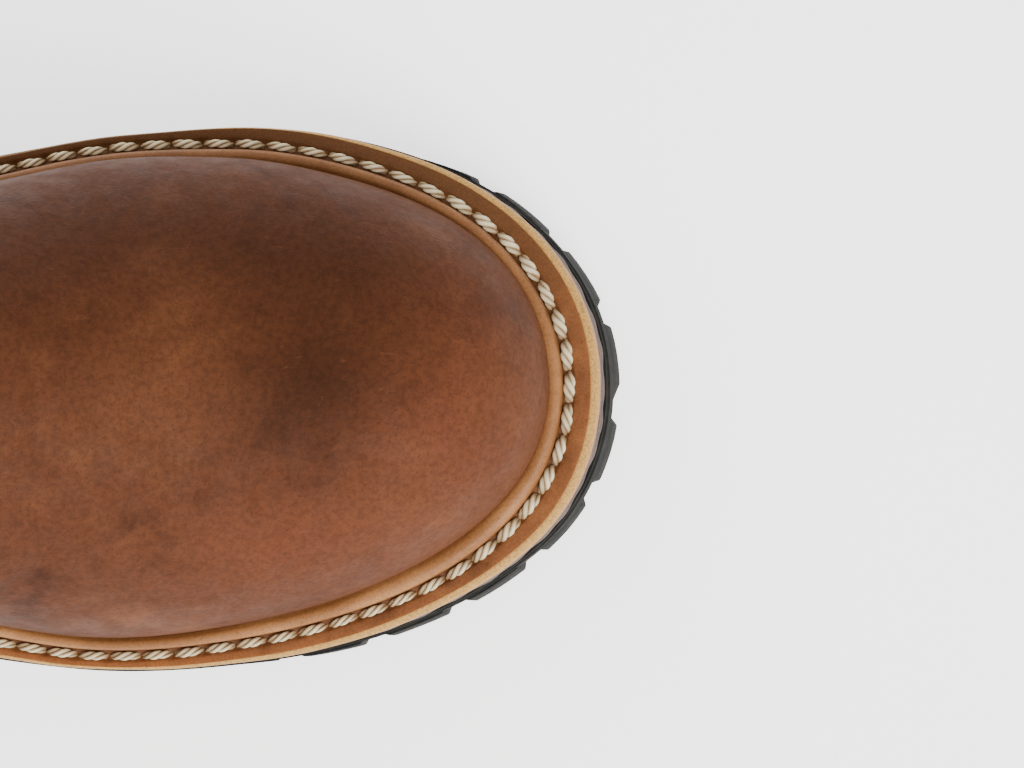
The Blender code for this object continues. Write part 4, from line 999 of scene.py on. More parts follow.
def overlay(node, grid):
    """A piece of leather laid over the quarters, with its cut edges rounded."""
    sigma, row, side = grid
    face = quarter_step(row) + FIT_GAP + OVERLAY
    outer = leather(sigma, row, side, face)
    inner = leather(sigma, row, side, quarter_step(row) + SKIN_GAP)
    gap = nearest_edge(outer, outer[:, :1], outer[:, -1:], outer[-1:], outer[:1])
    outer = leather(sigma, row, side, face - edge_draw(gap, 0.0007))
    marks = {"edge": cut_shade(gap, 0.8), "shade": np.full(gap.shape, 0.15), "warm": np.zeros(gap.shape)}
    piece = closed_sheet(node + "_piece", outer, inner, OVERLAY_LOOK, attributes=marks, sharp=60)
    return hand_in(piece, "overlay_leather", node)


def counter_and_backstay():
    overlay("heel_counter", overlay_grid(COUNTER_SHARE, COUNTER_LOW, counter_top, 80, 46, 1.0))
    overlay("backstay", overlay_grid(BACKSTAY_SHARE, COUNTER_TOP + 0.003, backstay_top, 14, 120, 2.2))


def tongue():
    """The tongue, held at its foot under the vamp and free above it."""
    rise = TONGUE_RISE / FRONT_LENGTH
    near_top = 1 + rise - np.array(EDGE_STEPS) / FRONT_LENGTH
    rows = np.unique(np.concatenate([np.linspace(0.35, 1 + rise, 150), near_top]))
    fine = np.array((0.004, 0.012, 0.025))
    u = np.unique(np.concatenate([np.linspace(-1, 1, 57), -1 + fine, 1 - fine]))
    uu, rr = np.meshgrid(u, rows)
    side = np.where(uu > 0, MEDIAL, LATERAL)
    reach = mix(THROAT_HALF_GAP, COLLAR_HALF_GAP, np.clip((rr - THROAT) / (1 - THROAT), 0, 1)) + TONGUE_LAP
    edges = {s: sigma_at_half_width(rr, reach, s) for s in (LATERAL, MEDIAL)}
    sigma = mix(1.0, np.where(side > 0, edges[MEDIAL], edges[LATERAL]), np.abs(uu))
    drop = ease((rr - 0.39) / (THROAT + 0.02 - 0.39))
    height = np.where(rr > 1, rr - 0.6 * rise * np.abs(uu) ** 3, rr)
    wave = 0.00035 * np.sin(rr * 95.0) * ease((rr - 0.47) / 0.05) * (1 - 0.5 * np.abs(uu))
    offset = -WALL - mix(1.3 * FIT_GAP, TONGUE_CLEARANCE, drop) + wave
    outer = on_boot(sigma, height, side, offset)
    gap = nearest_edge(outer, outer[-1:], outer[:, :1], outer[:, -1:])
    draw = edge_draw(gap, 0.0011)
    outer = on_boot(sigma, height, side, offset - draw)
    inner = on_boot(sigma, height, side, offset - TONGUE + draw)
    marks = {
        "edge": 0.7 * np.exp(-gap / 0.0018), "shade": np.full(gap.shape, 0.3), "warm": np.zeros(gap.shape),
    }
    piece = closed_sheet("tongue_piece", outer, inner, UPPER_LOOK, attributes=marks, sharp=60)
    hand_in(piece, "upper_leather", "tongue")


# Widths along the welt in mm. Columns: place along the last, inner side, outer side.
rib_width_at = by_side((
    (0.00, 2.9, 2.9), (0.60, 2.85, 2.7), (0.70, 2.85, 2.65), (0.77, 2.85, 2.95), (0.84, 2.8, 3.4),
    (0.90, 2.7, 4.0), (0.955, 2.65, 4.15), (0.985, 2.85, 3.9), (1.00, 3.4, 3.4),
))
bevel_width_at = by_side((
    (0.00, 0.9, 0.9), (0.60, 0.6, 0.7), (0.70, 0.35, 0.6), (0.80, 0.40, 1.0), (0.86, 0.85, 1.35),
    (0.93, 1.15, 1.5), (1.00, 1.55, 1.55),
))
STITCH_FROM_RIB = 0.00125   # stitch line from the rib's outer edge


class Rim:
    """The line round the sole, by length along the welt's stitches from the back, outer side first."""

    def __init__(self, count=1400):
        sigma = np.concatenate([np.linspace(0, 1, count), np.linspace(1, 0, count)[1:]])
        side = side_labels(count - 1)
        foot = boot_point(sigma, 0.0, side)
        self.foot = foot[:, :2]
        self.out = boot_normal(sigma, 0.0, side)[:, :2]
        self.width = welt_width(foot[:, 0], side)
        self.heights = np.array([0.0, 2.0, 4.0, 5.2, 6.4, 7.8]) * MM
        step = SKIVED_STEP * np.clip(1 - (sigma - SEAM_FOOT) / 0.03, 0, 1)
        walls = [on_boot(sigma, h / FRONT_LENGTH, side, step + SKIN_GAP)[:, :2] for h in self.heights]
        self.upper = np.array([np.sum((wall - self.foot) * self.out, axis=1) for wall in walls])
        share = np.clip(share_of_last(foot[:, 0]), 0.0, 1.0)
        self.rib = rib_width_at(share, side) * MM
        self.bevel = bevel_width_at(share, side) * MM
        line = self.foot + self.out * (self.upper[3] + self.rib + STITCH_FROM_RIB)[:, None]
        self.length = running_length(line)
        self.total = float(self.length[-1])

    def pick(self, values, s):
        s = np.mod(s, self.total)
        return np.interp(s, self.length, values) if values.ndim == 1 else columns_at(s, self.length, values)

    def frame_at(self, s):
        return self.pick(self.foot, s), unit(self.pick(self.out, s))

    def upper_at(self, s, h):
        """Distance from the base line out to the upper's face at this height."""
        rows = np.stack([self.pick(r, s) for r in self.upper], axis=-1)
        found = [np.interp(h, self.heights, r) for r in rows.reshape(-1, len(self.heights))]
        return np.array(found).reshape(np.shape(s))

    def point(self, s, d, h):
        """The point this far out from the base line, and this high above the midsole, square to it."""
        foot, out = self.frame_at(s)
        plan = foot + out * np.asarray(d)[..., None]
        return square_to_sole(plan[..., 0], plan[..., 1], -np.asarray(h))

    def stations(self, step):
        count = int(round(self.total / step))
        return np.arange(count) * self.total / count


RIM = Rim()
STITCH_PITCH = 0.0066
STITCH_COUNT = int(round(RIM.total / STITCH_PITCH))
STITCH_STEP = RIM.total / STITCH_COUNT
FLAT_HEIGHT = WELT + FIT_GAP


def stitch_phase(s):
    """0 at a stitch hole, 1 halfway between two."""
    return 1 - np.abs(2 * np.mod(s / STITCH_STEP, 1.0) - 1)


def storm_welt():
    """The welt: a round rib against the upper, a groove, the stitched channel, the flat and a pale bevel."""
    s = RIM.stations(0.00072)
    foot, out = RIM.frame_at(s)
    face = RIM.upper_at(s, 0.0052) / MM
    width, rib_width, bevel = (RIM.pick(values, s) / MM for values in (RIM.width, RIM.rib, RIM.bevel))
    hole = 1 - np.clip(stitch_phase(s) / 0.16, 0, 1)
    stitch = rib_width + STITCH_FROM_RIB / MM
    wobble = 0.05 * np.sin(s / 0.0037) + 0.04 * np.sin(s / 0.0101 + 1.0)
    # Columns: distance from the upper's face, height, both in mm, then the rib's share, the groove's painted shadow
    # and the bevel's share.
    half, tall = rib_width / 2 - 0.05, 1.62
    crown = (WELT + RIB_HEIGHT + FIT_GAP) / MM - tall
    profile_rows = [(0.04, 0.3, 1.0, 0.0, 0.0), (0.04, crown + 0.55 * tall, 1.0, 0.0, 0.0)]
    for angle in np.radians(np.linspace(128, 0, 13)):
        reach = np.sign(np.cos(angle)) * np.abs(np.cos(angle)) ** 0.9
        profile_rows.append((half * (1 + reach) + 0.07, crown + tall * math.sin(angle), 1.0, 0.0, 0.0))
    profile_rows += [(rib_width, 5.0, 0.85, 0.15, 0.0), (rib_width + 0.02, 4.2, 0.4, 0.6, 0.0),
                     (rib_width + 0.12, 3.95, 0.0, 0.9, 0.0)]
    for off, h, groove in ((-0.85, 3.88, 0.6), (-0.5, 3.86, 0.30), (0.0, 3.84, 0.25), (0.5, 3.90, 0.30),
                           (0.95, 4.06, 0.45), (1.2, 4.24, 0.08), (1.45, 4.31, 0.0)):
        profile_rows.append((stitch + off, h, 0.0, groove, 0.0))
    inside, shoulder = stitch + 1.45, width - face - bevel - 0.12
    for u, rise in ((0.35, 0.03), (0.7, 0.02), (1.0, 0.0)):
        profile_rows.append((mix(inside, shoulder, u), FLAT_HEIGHT / MM + rise + wobble * 0.4, 0.0, 0.0, 0.0))
    rim_rows = (
        (0.10, -0.03, 0.75), (0.33, -0.20, 1.0), (0.68, -0.60, 1.0), (0.92, -1.05, 1.0), (1.0, -1.5, 0.9),
        (1.03, -2.4, 0.55), (1.0, -3.4, 0.25), (0.85, -3.95, 0.1),
    )
    for share, drop, pale in rim_rows:
        profile_rows.append((shoulder + bevel * share + wobble, FLAT_HEIGHT / MM + drop, 0.0, 0.0, pale))
    rows, marks = [], {key: [] for key in ("rib", "groove", "bevel")}
    fade = 1 - 0.75 * ease((0.186 - foot[:, 0]) / 0.012) * (out[:, 1] > 0) * (foot[:, 0] > 0.02)
    for d, h, rib, groove, pale in profile_rows:
        gap = (d - stitch) / 0.8
        sunk = 0.55 * hole * np.exp(-gap ** 2)
        rows.append(RIM.point(s, (face + d) * MM, (h - sunk) * MM))
        marks["rib"].append(rib + 0 * s)
        # Painted shadow in the groove, deepest at the stitch holes.
        marks["groove"].append(np.clip(groove + 0.8 * hole * np.exp(-gap ** 2), 0, 1))
        marks["bevel"].append(pale * fade)
    grid = np.array(rows)
    # Painted shadow, strongest on the inner side, which faces away from the key light.
    toward_inner = np.clip(0.42 + 0.85 * out[:, 1] - 0.30 * out[:, 0], 0, 1)
    marks["painted_shadow_side"] = np.broadcast_to(ease(toward_inner) * 0.9, grid.shape[:2])
    marks["edge_glow"] = [np.clip(1 - (shoulder + bevel - d) / 2.6, 0, 1) + 0 * s for d, *_ in profile_rows]
    faces = grid_quads(*grid.shape[:2], closed_rows=True, closed_columns=True)
    obj = add_mesh("storm_welt_piece", grid.reshape(-1, 3), faces, WELT_LOOK, attributes=marks, sharp=50)
    return hand_in(obj, "welt_leather", "storm_welt")


def rings_round(path, axes, radius, sides):
    angles = round_angles(sides)[:, None]
    one, two = (axis[..., None, :] for axis in axes)
    return path[..., None, :] + radius * (np.cos(angles) * one + np.sin(angles) * two)


def end_caps(start, rings, sides):
    last = start + (rings - 1) * sides
    return [[start + i for i in range(sides)][::-1], [last + i for i in range(sides)]]


def tubes(paths, axes, radius, sides, look, name, uv_step):
    """Closed round tubes along many paths of one length, as one mesh with UVs along and round each."""
    count, length = paths.shape[:2]
    radius = np.broadcast_to(radius, (count, length))[..., None, None]
    points = rings_round(paths, axes, radius, sides).reshape(-1, 3)
    faces = []
    quads = np.array(grid_quads(length, sides, closed_columns=True))
    for start in np.arange(count) * length * sides:
        faces += (quads + start).tolist() + end_caps(int(start), length, sides)
    obj = add_mesh(name, points, faces, look, sharp=60)
    index = np.arange(len(points))
    along = (index // sides) % length * uv_step + index // (sides * length) * 1.7
    lay_uvs(obj.data, np.stack([along, index % sides / sides], axis=-1))
    return obj


def across(tangents, up):
    """Two unit axes square to the tangents, the second as near to up as it can be."""
    tangents = unit(tangents)
    one = unit(np.cross(tangents, up))
    return one, np.cross(one, tangents)


def welt_stitches():
    """Thick twisted thread round the welt: three plies a stitch, diving into the holes at both ends."""
    steps, sides = 19, 10
    u = np.linspace(0, 1, steps)
    rng = np.random.default_rng(5)
    k = np.arange(STITCH_COUNT)
    s = (k[:, None] + 0.04 + 0.92 * u) * STITCH_STEP
    dive = np.sin(np.pi * u) ** 0.38
    slant = rng.uniform(0.02, 0.24, STITCH_COUNT)[:, None] * MM
    foot = RIM.pick(RIM.foot, s)
    thick = mix(0.78, 1.08, ease((foot[..., 0] - 0.218) / 0.024)) * rng.uniform(0.95, 1.06, STITCH_COUNT)[:, None]
    face = RIM.upper_at(s, 0.0052)
    inner = np.sign(RIM.pick(RIM.out, s)[..., 1])
    d = face + RIM.pick(RIM.rib, s) + STITCH_FROM_RIB + (u - 0.5) * 2 * slant * inner
    d = d + rng.uniform(-0.06, 0.06, STITCH_COUNT)[:, None] * MM + 0.10 * MM * (thick - 0.78) / 0.3
    h = (2.75 + 1.65 * dive) * MM + rng.uniform(-0.06, 0.08, STITCH_COUNT)[:, None] * MM
    centre = RIM.point(s, d, h)
    tangents = np.gradient(centre, axis=1)
    up = np.array([0.0, 0.0, 1.0])
    one, two = across(tangents, up)
    turns = -0.95
    phase = rng.uniform(0, 2 * math.pi, STITCH_COUNT)[:, None]
    taper = 0.40 + 0.60 * np.sin(np.pi * (u * 0.96 + 0.02)) ** 0.55
    spread = 0.60 * MM * thick
    paths, ones, twos = [], [], []
    for n in range(3):
        angle = phase + 2 * math.pi * (n / 3 - turns * u)
        swing = np.cos(angle)[..., None] * one + 0.80 * np.sin(angle)[..., None] * two
        path = centre + spread[..., None] * taper[:, None] * swing
        a, b = across(np.gradient(path, axis=1), up)
        paths.append(path)
        ones.append(a)
        twos.append(b)
    axes = np.concatenate(ones), np.concatenate(twos)
    radius = np.concatenate([spread * taper] * 3)
    obj = tubes(np.concatenate(paths), axes, radius, sides, CREAM_THREAD, "welt_stitches", 0.05)
    points = np.empty(len(obj.data.vertices) * 3, np.float32)
    obj.data.vertices.foreach_get("co", points)
    points = points.reshape(3, STITCH_COUNT, steps, sides, 3)
    reach = np.linalg.norm(points - centre[None, :, :, None, :], axis=-1)
    # Painted shade on the plies where they lie close to the thread's middle, in the gaps between them.
    crevice_shade = np.clip((0.96 - reach / (2 * spread)[None, :, :, None]) / 0.34, 0, 1)
    # tan: partly the thread's golden wax and partly painted shade, at the heel-ward end, away from the light, and
    # at both ends where the thread dives into its holes.
    toward_heel = np.where(inner > 0, u, 1 - u) * rng.uniform(0.5, 1.0, STITCH_COUNT)[:, None]
    ends = 1 - np.clip(np.sin(np.pi * u) / 0.42, 0, 1)
    tan = np.clip(0.62 * toward_heel + 0.5 * ends, 0, 1)
    mark_points(obj.data, {"crevice_shade": crevice_shade, "tan": np.broadcast_to(tan[None, :, :, None], crevice_shade.shape)})
    return hand_in(obj, "waxed_cord", "storm_welt")


SEAM_PITCH = 0.0030
SEAM_THREAD = 0.00085


def surface_stitches(name, lines, node):
    """Rows of small stitches along lines of (points, normals) on the leather."""
    steps, sides = 6, 6
    u = np.linspace(0, 1, steps)
    lift = SEAM_THREAD * (0.62 * np.sin(np.pi * u) ** 0.5 - 0.42)
    paths, all_normals = [], []
    for points, normals in lines:
        lengths = running_length(points)
        count = max(int(lengths[-1] / SEAM_PITCH), 1)
        s = (np.arange(count)[:, None] + 0.09 + 0.82 * u) * (lengths[-1] / count)
        normal = unit(columns_at(s, lengths, normals))
        paths.append(columns_at(s, lengths, points) + normal * lift[..., None])
        all_normals.append(normal)
    paths = np.concatenate(paths)
    axes = across(np.gradient(paths, axis=1), np.concatenate(all_normals))
    obj = tubes(paths, axes, SEAM_THREAD / 2, sides, TAN_THREAD, name, 0.2)
    return hand_in(obj, "waxed_cord", node)


def upper_line(sigma, row, side, offset):
    return leather(sigma, row, side, offset), boot_normal(sigma, row, side)


def line_behind_edge(row, side, inset):
    """A line on a quarter, this far behind its front edge."""
    edge, step = seam_sigma(row, side), 0.01
    reach = np.linalg.norm(boot_point(edge, row, side) - boot_point(edge - step, row, side), axis=-1) / step
    return upper_line(edge - inset / reach, row, side, quarter_step(row))


def upper_stitching():
    """Seam rows of the quarters, lacing edge, collar, counter and backstay."""
    slant = 1.25    # the low seam runs aslant to the rows, so its insets are longer along them
    lines = []
    for side in (LATERAL, MEDIAL):
        low = np.linspace(LEDGE_ROW + 0.012, THROAT - 0.004, 90)
        lines += [line_behind_edge(low, side, slant * inset) for inset in (0.0022, 0.0042, 0.0078)]
        high = np.linspace(THROAT + 0.002, 1 - 0.0045 / FRONT_LENGTH, 120)
        lines += [line_behind_edge(high, side, inset) for inset in (0.0022, 0.0192)]
        for drop in (0.0030, 0.0062):
            row = 1 - drop / FRONT_LENGTH
            sigma = np.linspace(float(seam_sigma(row, side)) - 0.02, 0.045, 110)
            lines.append(upper_line(sigma, np.full(110, row), np.full(110, side), quarter_step(row)))
    surface_stitches("seam_stitches", lines, "upper")
    lines = []
    u = np.linspace(-0.985, 0.985, 240)
    side = np.where(u > 0, MEDIAL, LATERAL)
    for drop in (0.0022, 0.0044):
        row = counter_top(np.abs(u)) - drop / FRONT_LENGTH * (1.25 + 0.9 * np.abs(u) ** 3)
        sigma = seam_sigma(row, side) * COUNTER_SHARE * np.abs(u)
        lines.append(upper_line(sigma, row, side, quarter_step(row) + FIT_GAP + OVERLAY))
    surface_stitches("counter_stitches", lines, "heel_counter")
    row = np.linspace(COUNTER_TOP + 0.010, 0.979, 130)
    lines = [
        upper_line(seam_sigma(row, side) / 12 * share, row, side, quarter_step(row) + FIT_GAP + OVERLAY)
        for side in (LATERAL, MEDIAL) for share in (0.83, 0.66)
    ]
    surface_stitches("backstay_stitches", lines, "backstay")


def strip_cap(count, start):
    """Faces across a loop that runs up one side and back down the other."""
    half = count // 2
    faces = []
    for i in range(half):
        corners = [start + i, start + i + 1, start + (count - i - 1) % count, start + (-i) % count]
        faces.append(list(dict.fromkeys(corners)))
    return [f for f in faces if len(f) > 2]


def slab(name, loops, look):
    """A closed body between a stack of loops round the last."""
    grid = np.array(loops)
    rows, columns = grid.shape[:2]
    faces = grid_quads(rows, columns, closed_columns=True)
    faces += [f[::-1] for f in strip_cap(columns, 0)] + strip_cap(columns, (rows - 1) * columns)
    return add_mesh(name, grid.reshape(-1, 3), faces, look, sharp=40)


SOLE_PLACES = 640


def loop_sigma():
    """Paired places round the last: the outer side from back to toe, then the inner side back again."""
    half = np.linspace(0, 1, SOLE_PLACES // 2 + 1)
    side = np.concatenate([np.full(len(half), LATERAL), np.full(len(half) - 2, MEDIAL)])
    return np.concatenate([half, half[-2:0:-1]]), side


def rim_loop(sigma, side, beyond, depth):
    """A loop this far beyond the sole's edge and below the midsole's top."""
    foot = boot_point(sigma, 0.0, side)
    out = boot_normal(sigma, 0.0, side)[:, :2] * (welt_width(foot[:, 0], side) + beyond)[:, None]
    plan = foot[:, :2] + out
    return square_to_sole(plan[:, 0], plan[:, 1], np.asarray(depth) + 0 * plan[:, 0])


def midsole_and_insole():
    sigma, side = loop_sigma()
    place = np.arange(SOLE_PLACES)
    rough = 0.00012 * np.sin(place * 0.83) + 0.0001 * np.sin(place * 0.31)
    # Columns: distance beyond the edge, depth below the midsole's top
    profile = (
        (-0.0016, 0.0), (-0.0005, 0.00005), (-0.0001, 0.0005), (0.0, 0.0012), (-0.0003, 0.0019), (0.0, 0.0026),
        (0.0001, 0.0034), (-0.0004, 0.00395), (-0.0016, 0.004),
    )
    loops = [rim_loop(sigma, side, -0.0003 + d + rough, depth) for d, depth in profile]
    hand_in(slab("midsole_piece", loops, MIDSOLE_LOOK), "midsole_leather", "midsole")
    inside = -WALL - SKIN_GAP
    # Columns: height, and how far the edge is cut in there
    levels = (0.0, 0.0), (INSOLE - 0.0006, 0.0), (INSOLE - 0.0001, 0.0003), (INSOLE, 0.0009)
    loops = [on_boot(sigma, height / FRONT_LENGTH, side, inside - cut) for height, cut in levels]
    hand_in(slab("insole_piece", loops, INSOLE_LOOK), "insole_leather", "insole")


class EdgeLine:
    """The sole's edge in plan, by distance from the toe tip: positive on the inner side, negative on the outer."""

    def __init__(self):
        self.sides = {}
        for side in (LATERAL, MEDIAL):
            sigma = np.arange(150, -1, -1) / 150
            foot, out = boot_point(sigma, 0.0, side), boot_normal(sigma, 0.0, side)[:, :2]
            edge = foot[:, :2] + out * welt_width(foot[:, 0], side)[:, None]
            self.sides[side] = (running_length(edge), edge, out)

    def length(self, side):
        return float(self.sides[side][0][-1])

    def at(self, distance):
        lengths, edge, out = self.sides[MEDIAL if distance >= 0 else LATERAL]
        far = abs(distance)
        return columns_at(far, lengths, edge), unit(columns_at(far, lengths, out))

    def from_back(self, distance):
        side = MEDIAL if distance >= 0 else LATERAL
        return self.at(side * max(self.length(side) - abs(distance), 0.0))


EDGE = EdgeLine()


def lug_plan(place, centre, length):
    """Corners of an edge lug in plan: (point, outward direction, distance outside the edge line)."""
    low, high = centre - LUG_PITCH / 2 + LUG_GAP / 2, centre + LUG_PITCH / 2 - LUG_GAP / 2
    corners = [(low, -LUG_CHAMFER), (low + LUG_CHAMFER, 0.0)]
    corners += [(mix(low, high, t), 0.0) for t in (0.3, 0.5, 0.7)]
    corners += [(high - LUG_CHAMFER, 0.0), (high, -LUG_CHAMFER), (high, -length), (low, -length)]
    return [(*place(distance), beyond) for distance, beyond in corners]


def bevelled_prisms(name, prisms, look, radius=0.00055):
    """Joined closed blocks with rounded edges, each between two rings of points."""
    work = bmesh.new()
    for low, high in prisms:
        bottom = [work.verts.new(tuple(p)) for p in low]
        top = [work.verts.new(tuple(p)) for p in high]
        count = len(low)
        work.faces.new(bottom[::-1])
        work.faces.new(top)
        for i in range(count):
            j = (i + 1) % count
            work.faces.new([bottom[i], bottom[j], top[j], top[i]])
    bmesh.ops.recalc_face_normals(work, faces=work.faces)
    sharp = [e for e in work.edges if e.is_manifold and e.calc_face_angle(0) > math.radians(20)]
    bmesh.ops.bevel(
        work, geom=sharp, offset=radius, segments=2, profile=0.6, affect="EDGES", clamp_overlap=True)
    mesh = bpy.data.meshes.new(name)
    work.to_mesh(mesh)
    work.free()
    return finish_mesh(name, mesh, look, 50)


def outsole_lug_flare(x, outer_side):
    """How much of the edge lugs' flare shows at x: all of it near the toe's start, less behind and at the tip."""
    start, over, least = (0.175, 0.035, 0.35) if outer_side else (0.214, 0.018, 0.10)
    return mix(least, 1.0, float(ease((x - start) / over))), 1 - 0.65 * float(ease((x - 0.232) / 0.024))


def edge_lugs(top):
    prisms = []
    rearmost = along_last(ARCH_START) + 0.47 * LAST_LENGTH * (ARCH_END - ARCH_START)
    levels = (FOREFOOT_HEIGHT, LUG_FLARE), (top + OUTSOLE - LUG_CLIMB, 0.6 * LUG_FLARE + 0.0002)
    for side in (LATERAL, MEDIAL):
        for k in range(0 if side == MEDIAL else 1, int(EDGE.length(side) / LUG_PITCH)):
            centre = TOE_LUG_OFFSET + side * k * LUG_PITCH
            if EDGE.at(centre)[0][0] < rearmost:
                break
            rings = []
            for depth, flare in levels:
                ring = []
                for point, out, beyond in lug_plan(EDGE.at, centre, LUG_INWARD):
                    behind, at_tip = outsole_lug_flare(point[0], side * k < 0)
                    side_flare = flare * behind * at_tip
                    spot = point + out * (beyond + (side_flare if beyond > -LUG_INWARD else 0.0))
                    ring.append(square_to_sole(spot[0], spot[1], depth))
                rings.append(ring)
            prisms.append(rings)
    return prisms


def middle_lugs(top):
    prisms = []
    half = MIDDLE_LUG_LENGTH / 2
    levels = FOREFOOT_HEIGHT, top + OUTSOLE - LUG_CLIMB / 2
    for share, lugs in MIDDLE_LUG_COUNTS:
        x = along_last(share)
        edges = [EDGE.sides[side][1][::-1] for side in (LATERAL, MEDIAL)]
        outer, inner = (float(np.interp(x, edge[:, 0], edge[:, 1])) for edge in edges)
        low, high = outer + LUG_INWARD + LUG_GAP, inner - LUG_INWARD - LUG_GAP
        if high - low < MIDDLE_LUG_LENGTH:
            continue
        width = (high - low - LUG_GAP * (lugs - 1)) / lugs
        inset = 0.05 * width if lugs == 1 else 0.0
        for i in range(lugs):
            y0 = low + i * (width + LUG_GAP)
            y1 = y0 + width - inset
            y0 += inset
            plan = [(x - half, y0), (x + half, y0), (x + half, y1), (x - half, y1)]
            prisms.append([[square_to_sole(px, py, depth) for px, py in plan] for depth in levels])
    return prisms


def outsole():
    """The rubber outsole: a slab with a ridge round its edge, and the forefoot's edge and middle lugs."""
    sigma, side = loop_sigma()
    top = MIDSOLE + FIT_GAP
    # Columns: distance beyond the edge, depth below the midsole's top
    profile = (
        (-0.0030, top), (-0.0004, top), (0.0, top + 0.0003), (0.0, top + 0.0013), (0.0001, top + 0.0017),
        (EDGE_RIDGE, top + 0.0020), (EDGE_RIDGE, top + 0.0040), (EDGE_RIDGE, top + OUTSOLE - 0.0004),
        (EDGE_RIDGE - 0.0004, top + OUTSOLE), (-0.004, top + OUTSOLE),
    )
    loops = [rim_loop(sigma, side, d, depth) for d, depth in profile]
    hand_in(slab("outsole_slab", loops, RUBBER_LOOK), "rubber", "outsole")
    prisms = edge_lugs(top) + middle_lugs(top)
    hand_in(bevelled_prisms("outsole_lugs", prisms, RUBBER_LOOK), "rubber", "outsole")


HEEL_TOP = HEEL_HEIGHT - MIDSOLE - OUTSOLE - 2 * FIT_GAP
EDGE_BACK = float(rim_loop(np.array([0.0]), np.array([MEDIAL]), 0.0, 0.0)[0, 0])


def heel_point(plan, z):
    """A point of the heel's side under a point of the sole's edge: the heel tapers on its way down."""
    down = 1 - z / HEEL_TOP
    u = (HEEL_BREAST - plan[0]) / (HEEL_BREAST - EDGE_BACK)
    x = plan[0] + down * (HEEL_SLOPE_BACK * u - HEEL_SLOPE_BREAST * (1 - u))
    y = plan[1] - math.copysign(min(HEEL_SLOPE_SIDE * down, abs(plan[1])), plan[1])
    return np.array([x, y, z])


def heel_plan(beyond, steps=72):
    """The heel's outline: the sole's edge back of the breast, as a loop up the outer side and down the inner."""
    loop = []
    goal = mix(EDGE_BACK, HEEL_BREAST, 1 - np.cos(math.pi / 2 * np.arange(steps + 1) / steps))
    for side in (LATERAL, MEDIAL):
        sides = np.full(steps + 1, side)
        in_front = bisect(np.zeros(steps + 1), np.full(steps + 1, 0.5),
                          lambda sigma: rim_loop(sigma, sides, 0.0, 0.0)[:, 0] < goal)
        half = rim_loop(in_front, sides, beyond, 0.0)[:, :2]
        half[0] = (EDGE_BACK - beyond, 0.0)
        loop.append(half)
    front_low, front_high = loop[0][-1], loop[1][-1]
    t = np.linspace(0, 1, 15)[1:-1]
    hollow = front_low[0] - HEEL_BREAST_CURVE * 4 * t * (1 - t)
    breast = np.stack([hollow, mix(front_low[1], front_high[1], t)], axis=-1)
    return np.concatenate([loop[0], breast, loop[1][:0:-1]])


def fan_body(name, rings, look):
    """A closed body between a stack of rings, with fans over its two ends."""
    grid = np.array(rings)
    rows, columns = grid.shape[:2]
    faces = grid_quads(rows, columns, closed_columns=True)
    points = np.concatenate([grid.reshape(-1, 3), [grid[0].mean(axis=0), grid[-1].mean(axis=0)]])
    low, high = rows * columns, rows * columns + 1
    for i in range(columns):
        j = (i + 1) % columns
        faces.append([i, j, low])
        faces.append([(rows - 1) * columns + j, (rows - 1) * columns + i, high])
    return add_mesh(name, points, faces, look, sharp=40)


def heel_stack(full, inset):
    """Leather layers, each with rounded edges and a fine groove between it and the next."""
    low = HEEL_LIFT + 0.0001
    layer = (HEEL_TOP - low) / HEEL_LAYERS
    soft = heel_plan(-0.00015)
    section = ((inset, 0.0), (soft, 0.00035), (full, 0.0009), (full, layer * 0.5), (full, layer - 0.0009),
               (soft, layer - 0.0003))
    rings = []
    for k in range(HEEL_LAYERS):
        z = HEEL_TOP - k * layer
        rings += [[heel_point(p, z - down) for p in plan] for plan, down in section]
    rings.append([heel_point(p, low) for p in inset])
    hand_in(fan_body("heel_stack", rings, STACKED_LOOK), "midsole_leather", "heel_base")


def heel():
    full = heel_plan(0.0)
    heel_stack(full, heel_plan(-HEEL_GROOVE))
    soft, edge = heel_plan(-0.0004), 0.0004
    section = (soft, HEEL_LIFT), (full, HEEL_LIFT - edge), (full, HEEL_LUG_DEPTH + edge), (soft, HEEL_LUG_DEPTH)
    rings = [[heel_point(p, z) for p in plan] for plan, z in section]
    hand_in(fan_body("heel_top_piece", rings, RUBBER_LOOK), "rubber", "heel_lift")
    prisms = []
    reach = 0.0
    while EDGE.from_back(reach)[0][0] < HEEL_BREAST - LUG_PITCH * 0.55:
        for side in ((LATERAL, MEDIAL) if reach else (MEDIAL,)):
            plan = lug_plan(EDGE.from_back, side * reach, LUG_INWARD * 0.95)
            rings = []
            for z, flare in ((0.0, 0.0010), (HEEL_LUG_DEPTH + LUG_CLIMB, 0.0006)):
                ring = []
                for point, out, beyond in plan:
                    spot = point + out * (beyond + (flare if beyond > -LUG_INWARD * 0.9 else 0.0))
                    ring.append(heel_point(spot, z))
                rings.append(ring)
            prisms.append(rings)
        reach += LUG_PITCH
    half = LUG_PITCH * 0.62
    plan = [(-half, -half), (half, -half), (half, half), (-half, half)]
    prisms.append([[np.array([px, py, z]) for px, py in plan] for z in (0.0, HEEL_LUG_DEPTH + 0.002)])
    hand_in(bevelled_prisms("heel_lugs", prisms, RUBBER_LOOK), "rubber", "heel_lift")


# Lacing

def quarter_place(row, side, inset):
    """The sigma where a row is this far, in a straight line, behind the edge of the lacing gap."""
    edge = float(throat_sigma(row, side))
    start = boot_point(edge, row, side)
    low, high = edge - 0.4, edge
    for _ in range(24):
        middle = (low + high) / 2
        if np.linalg.norm(boot_point(middle, row, side) - start, axis=-1) > inset:
            low = middle
        else:
            high = middle
    return high


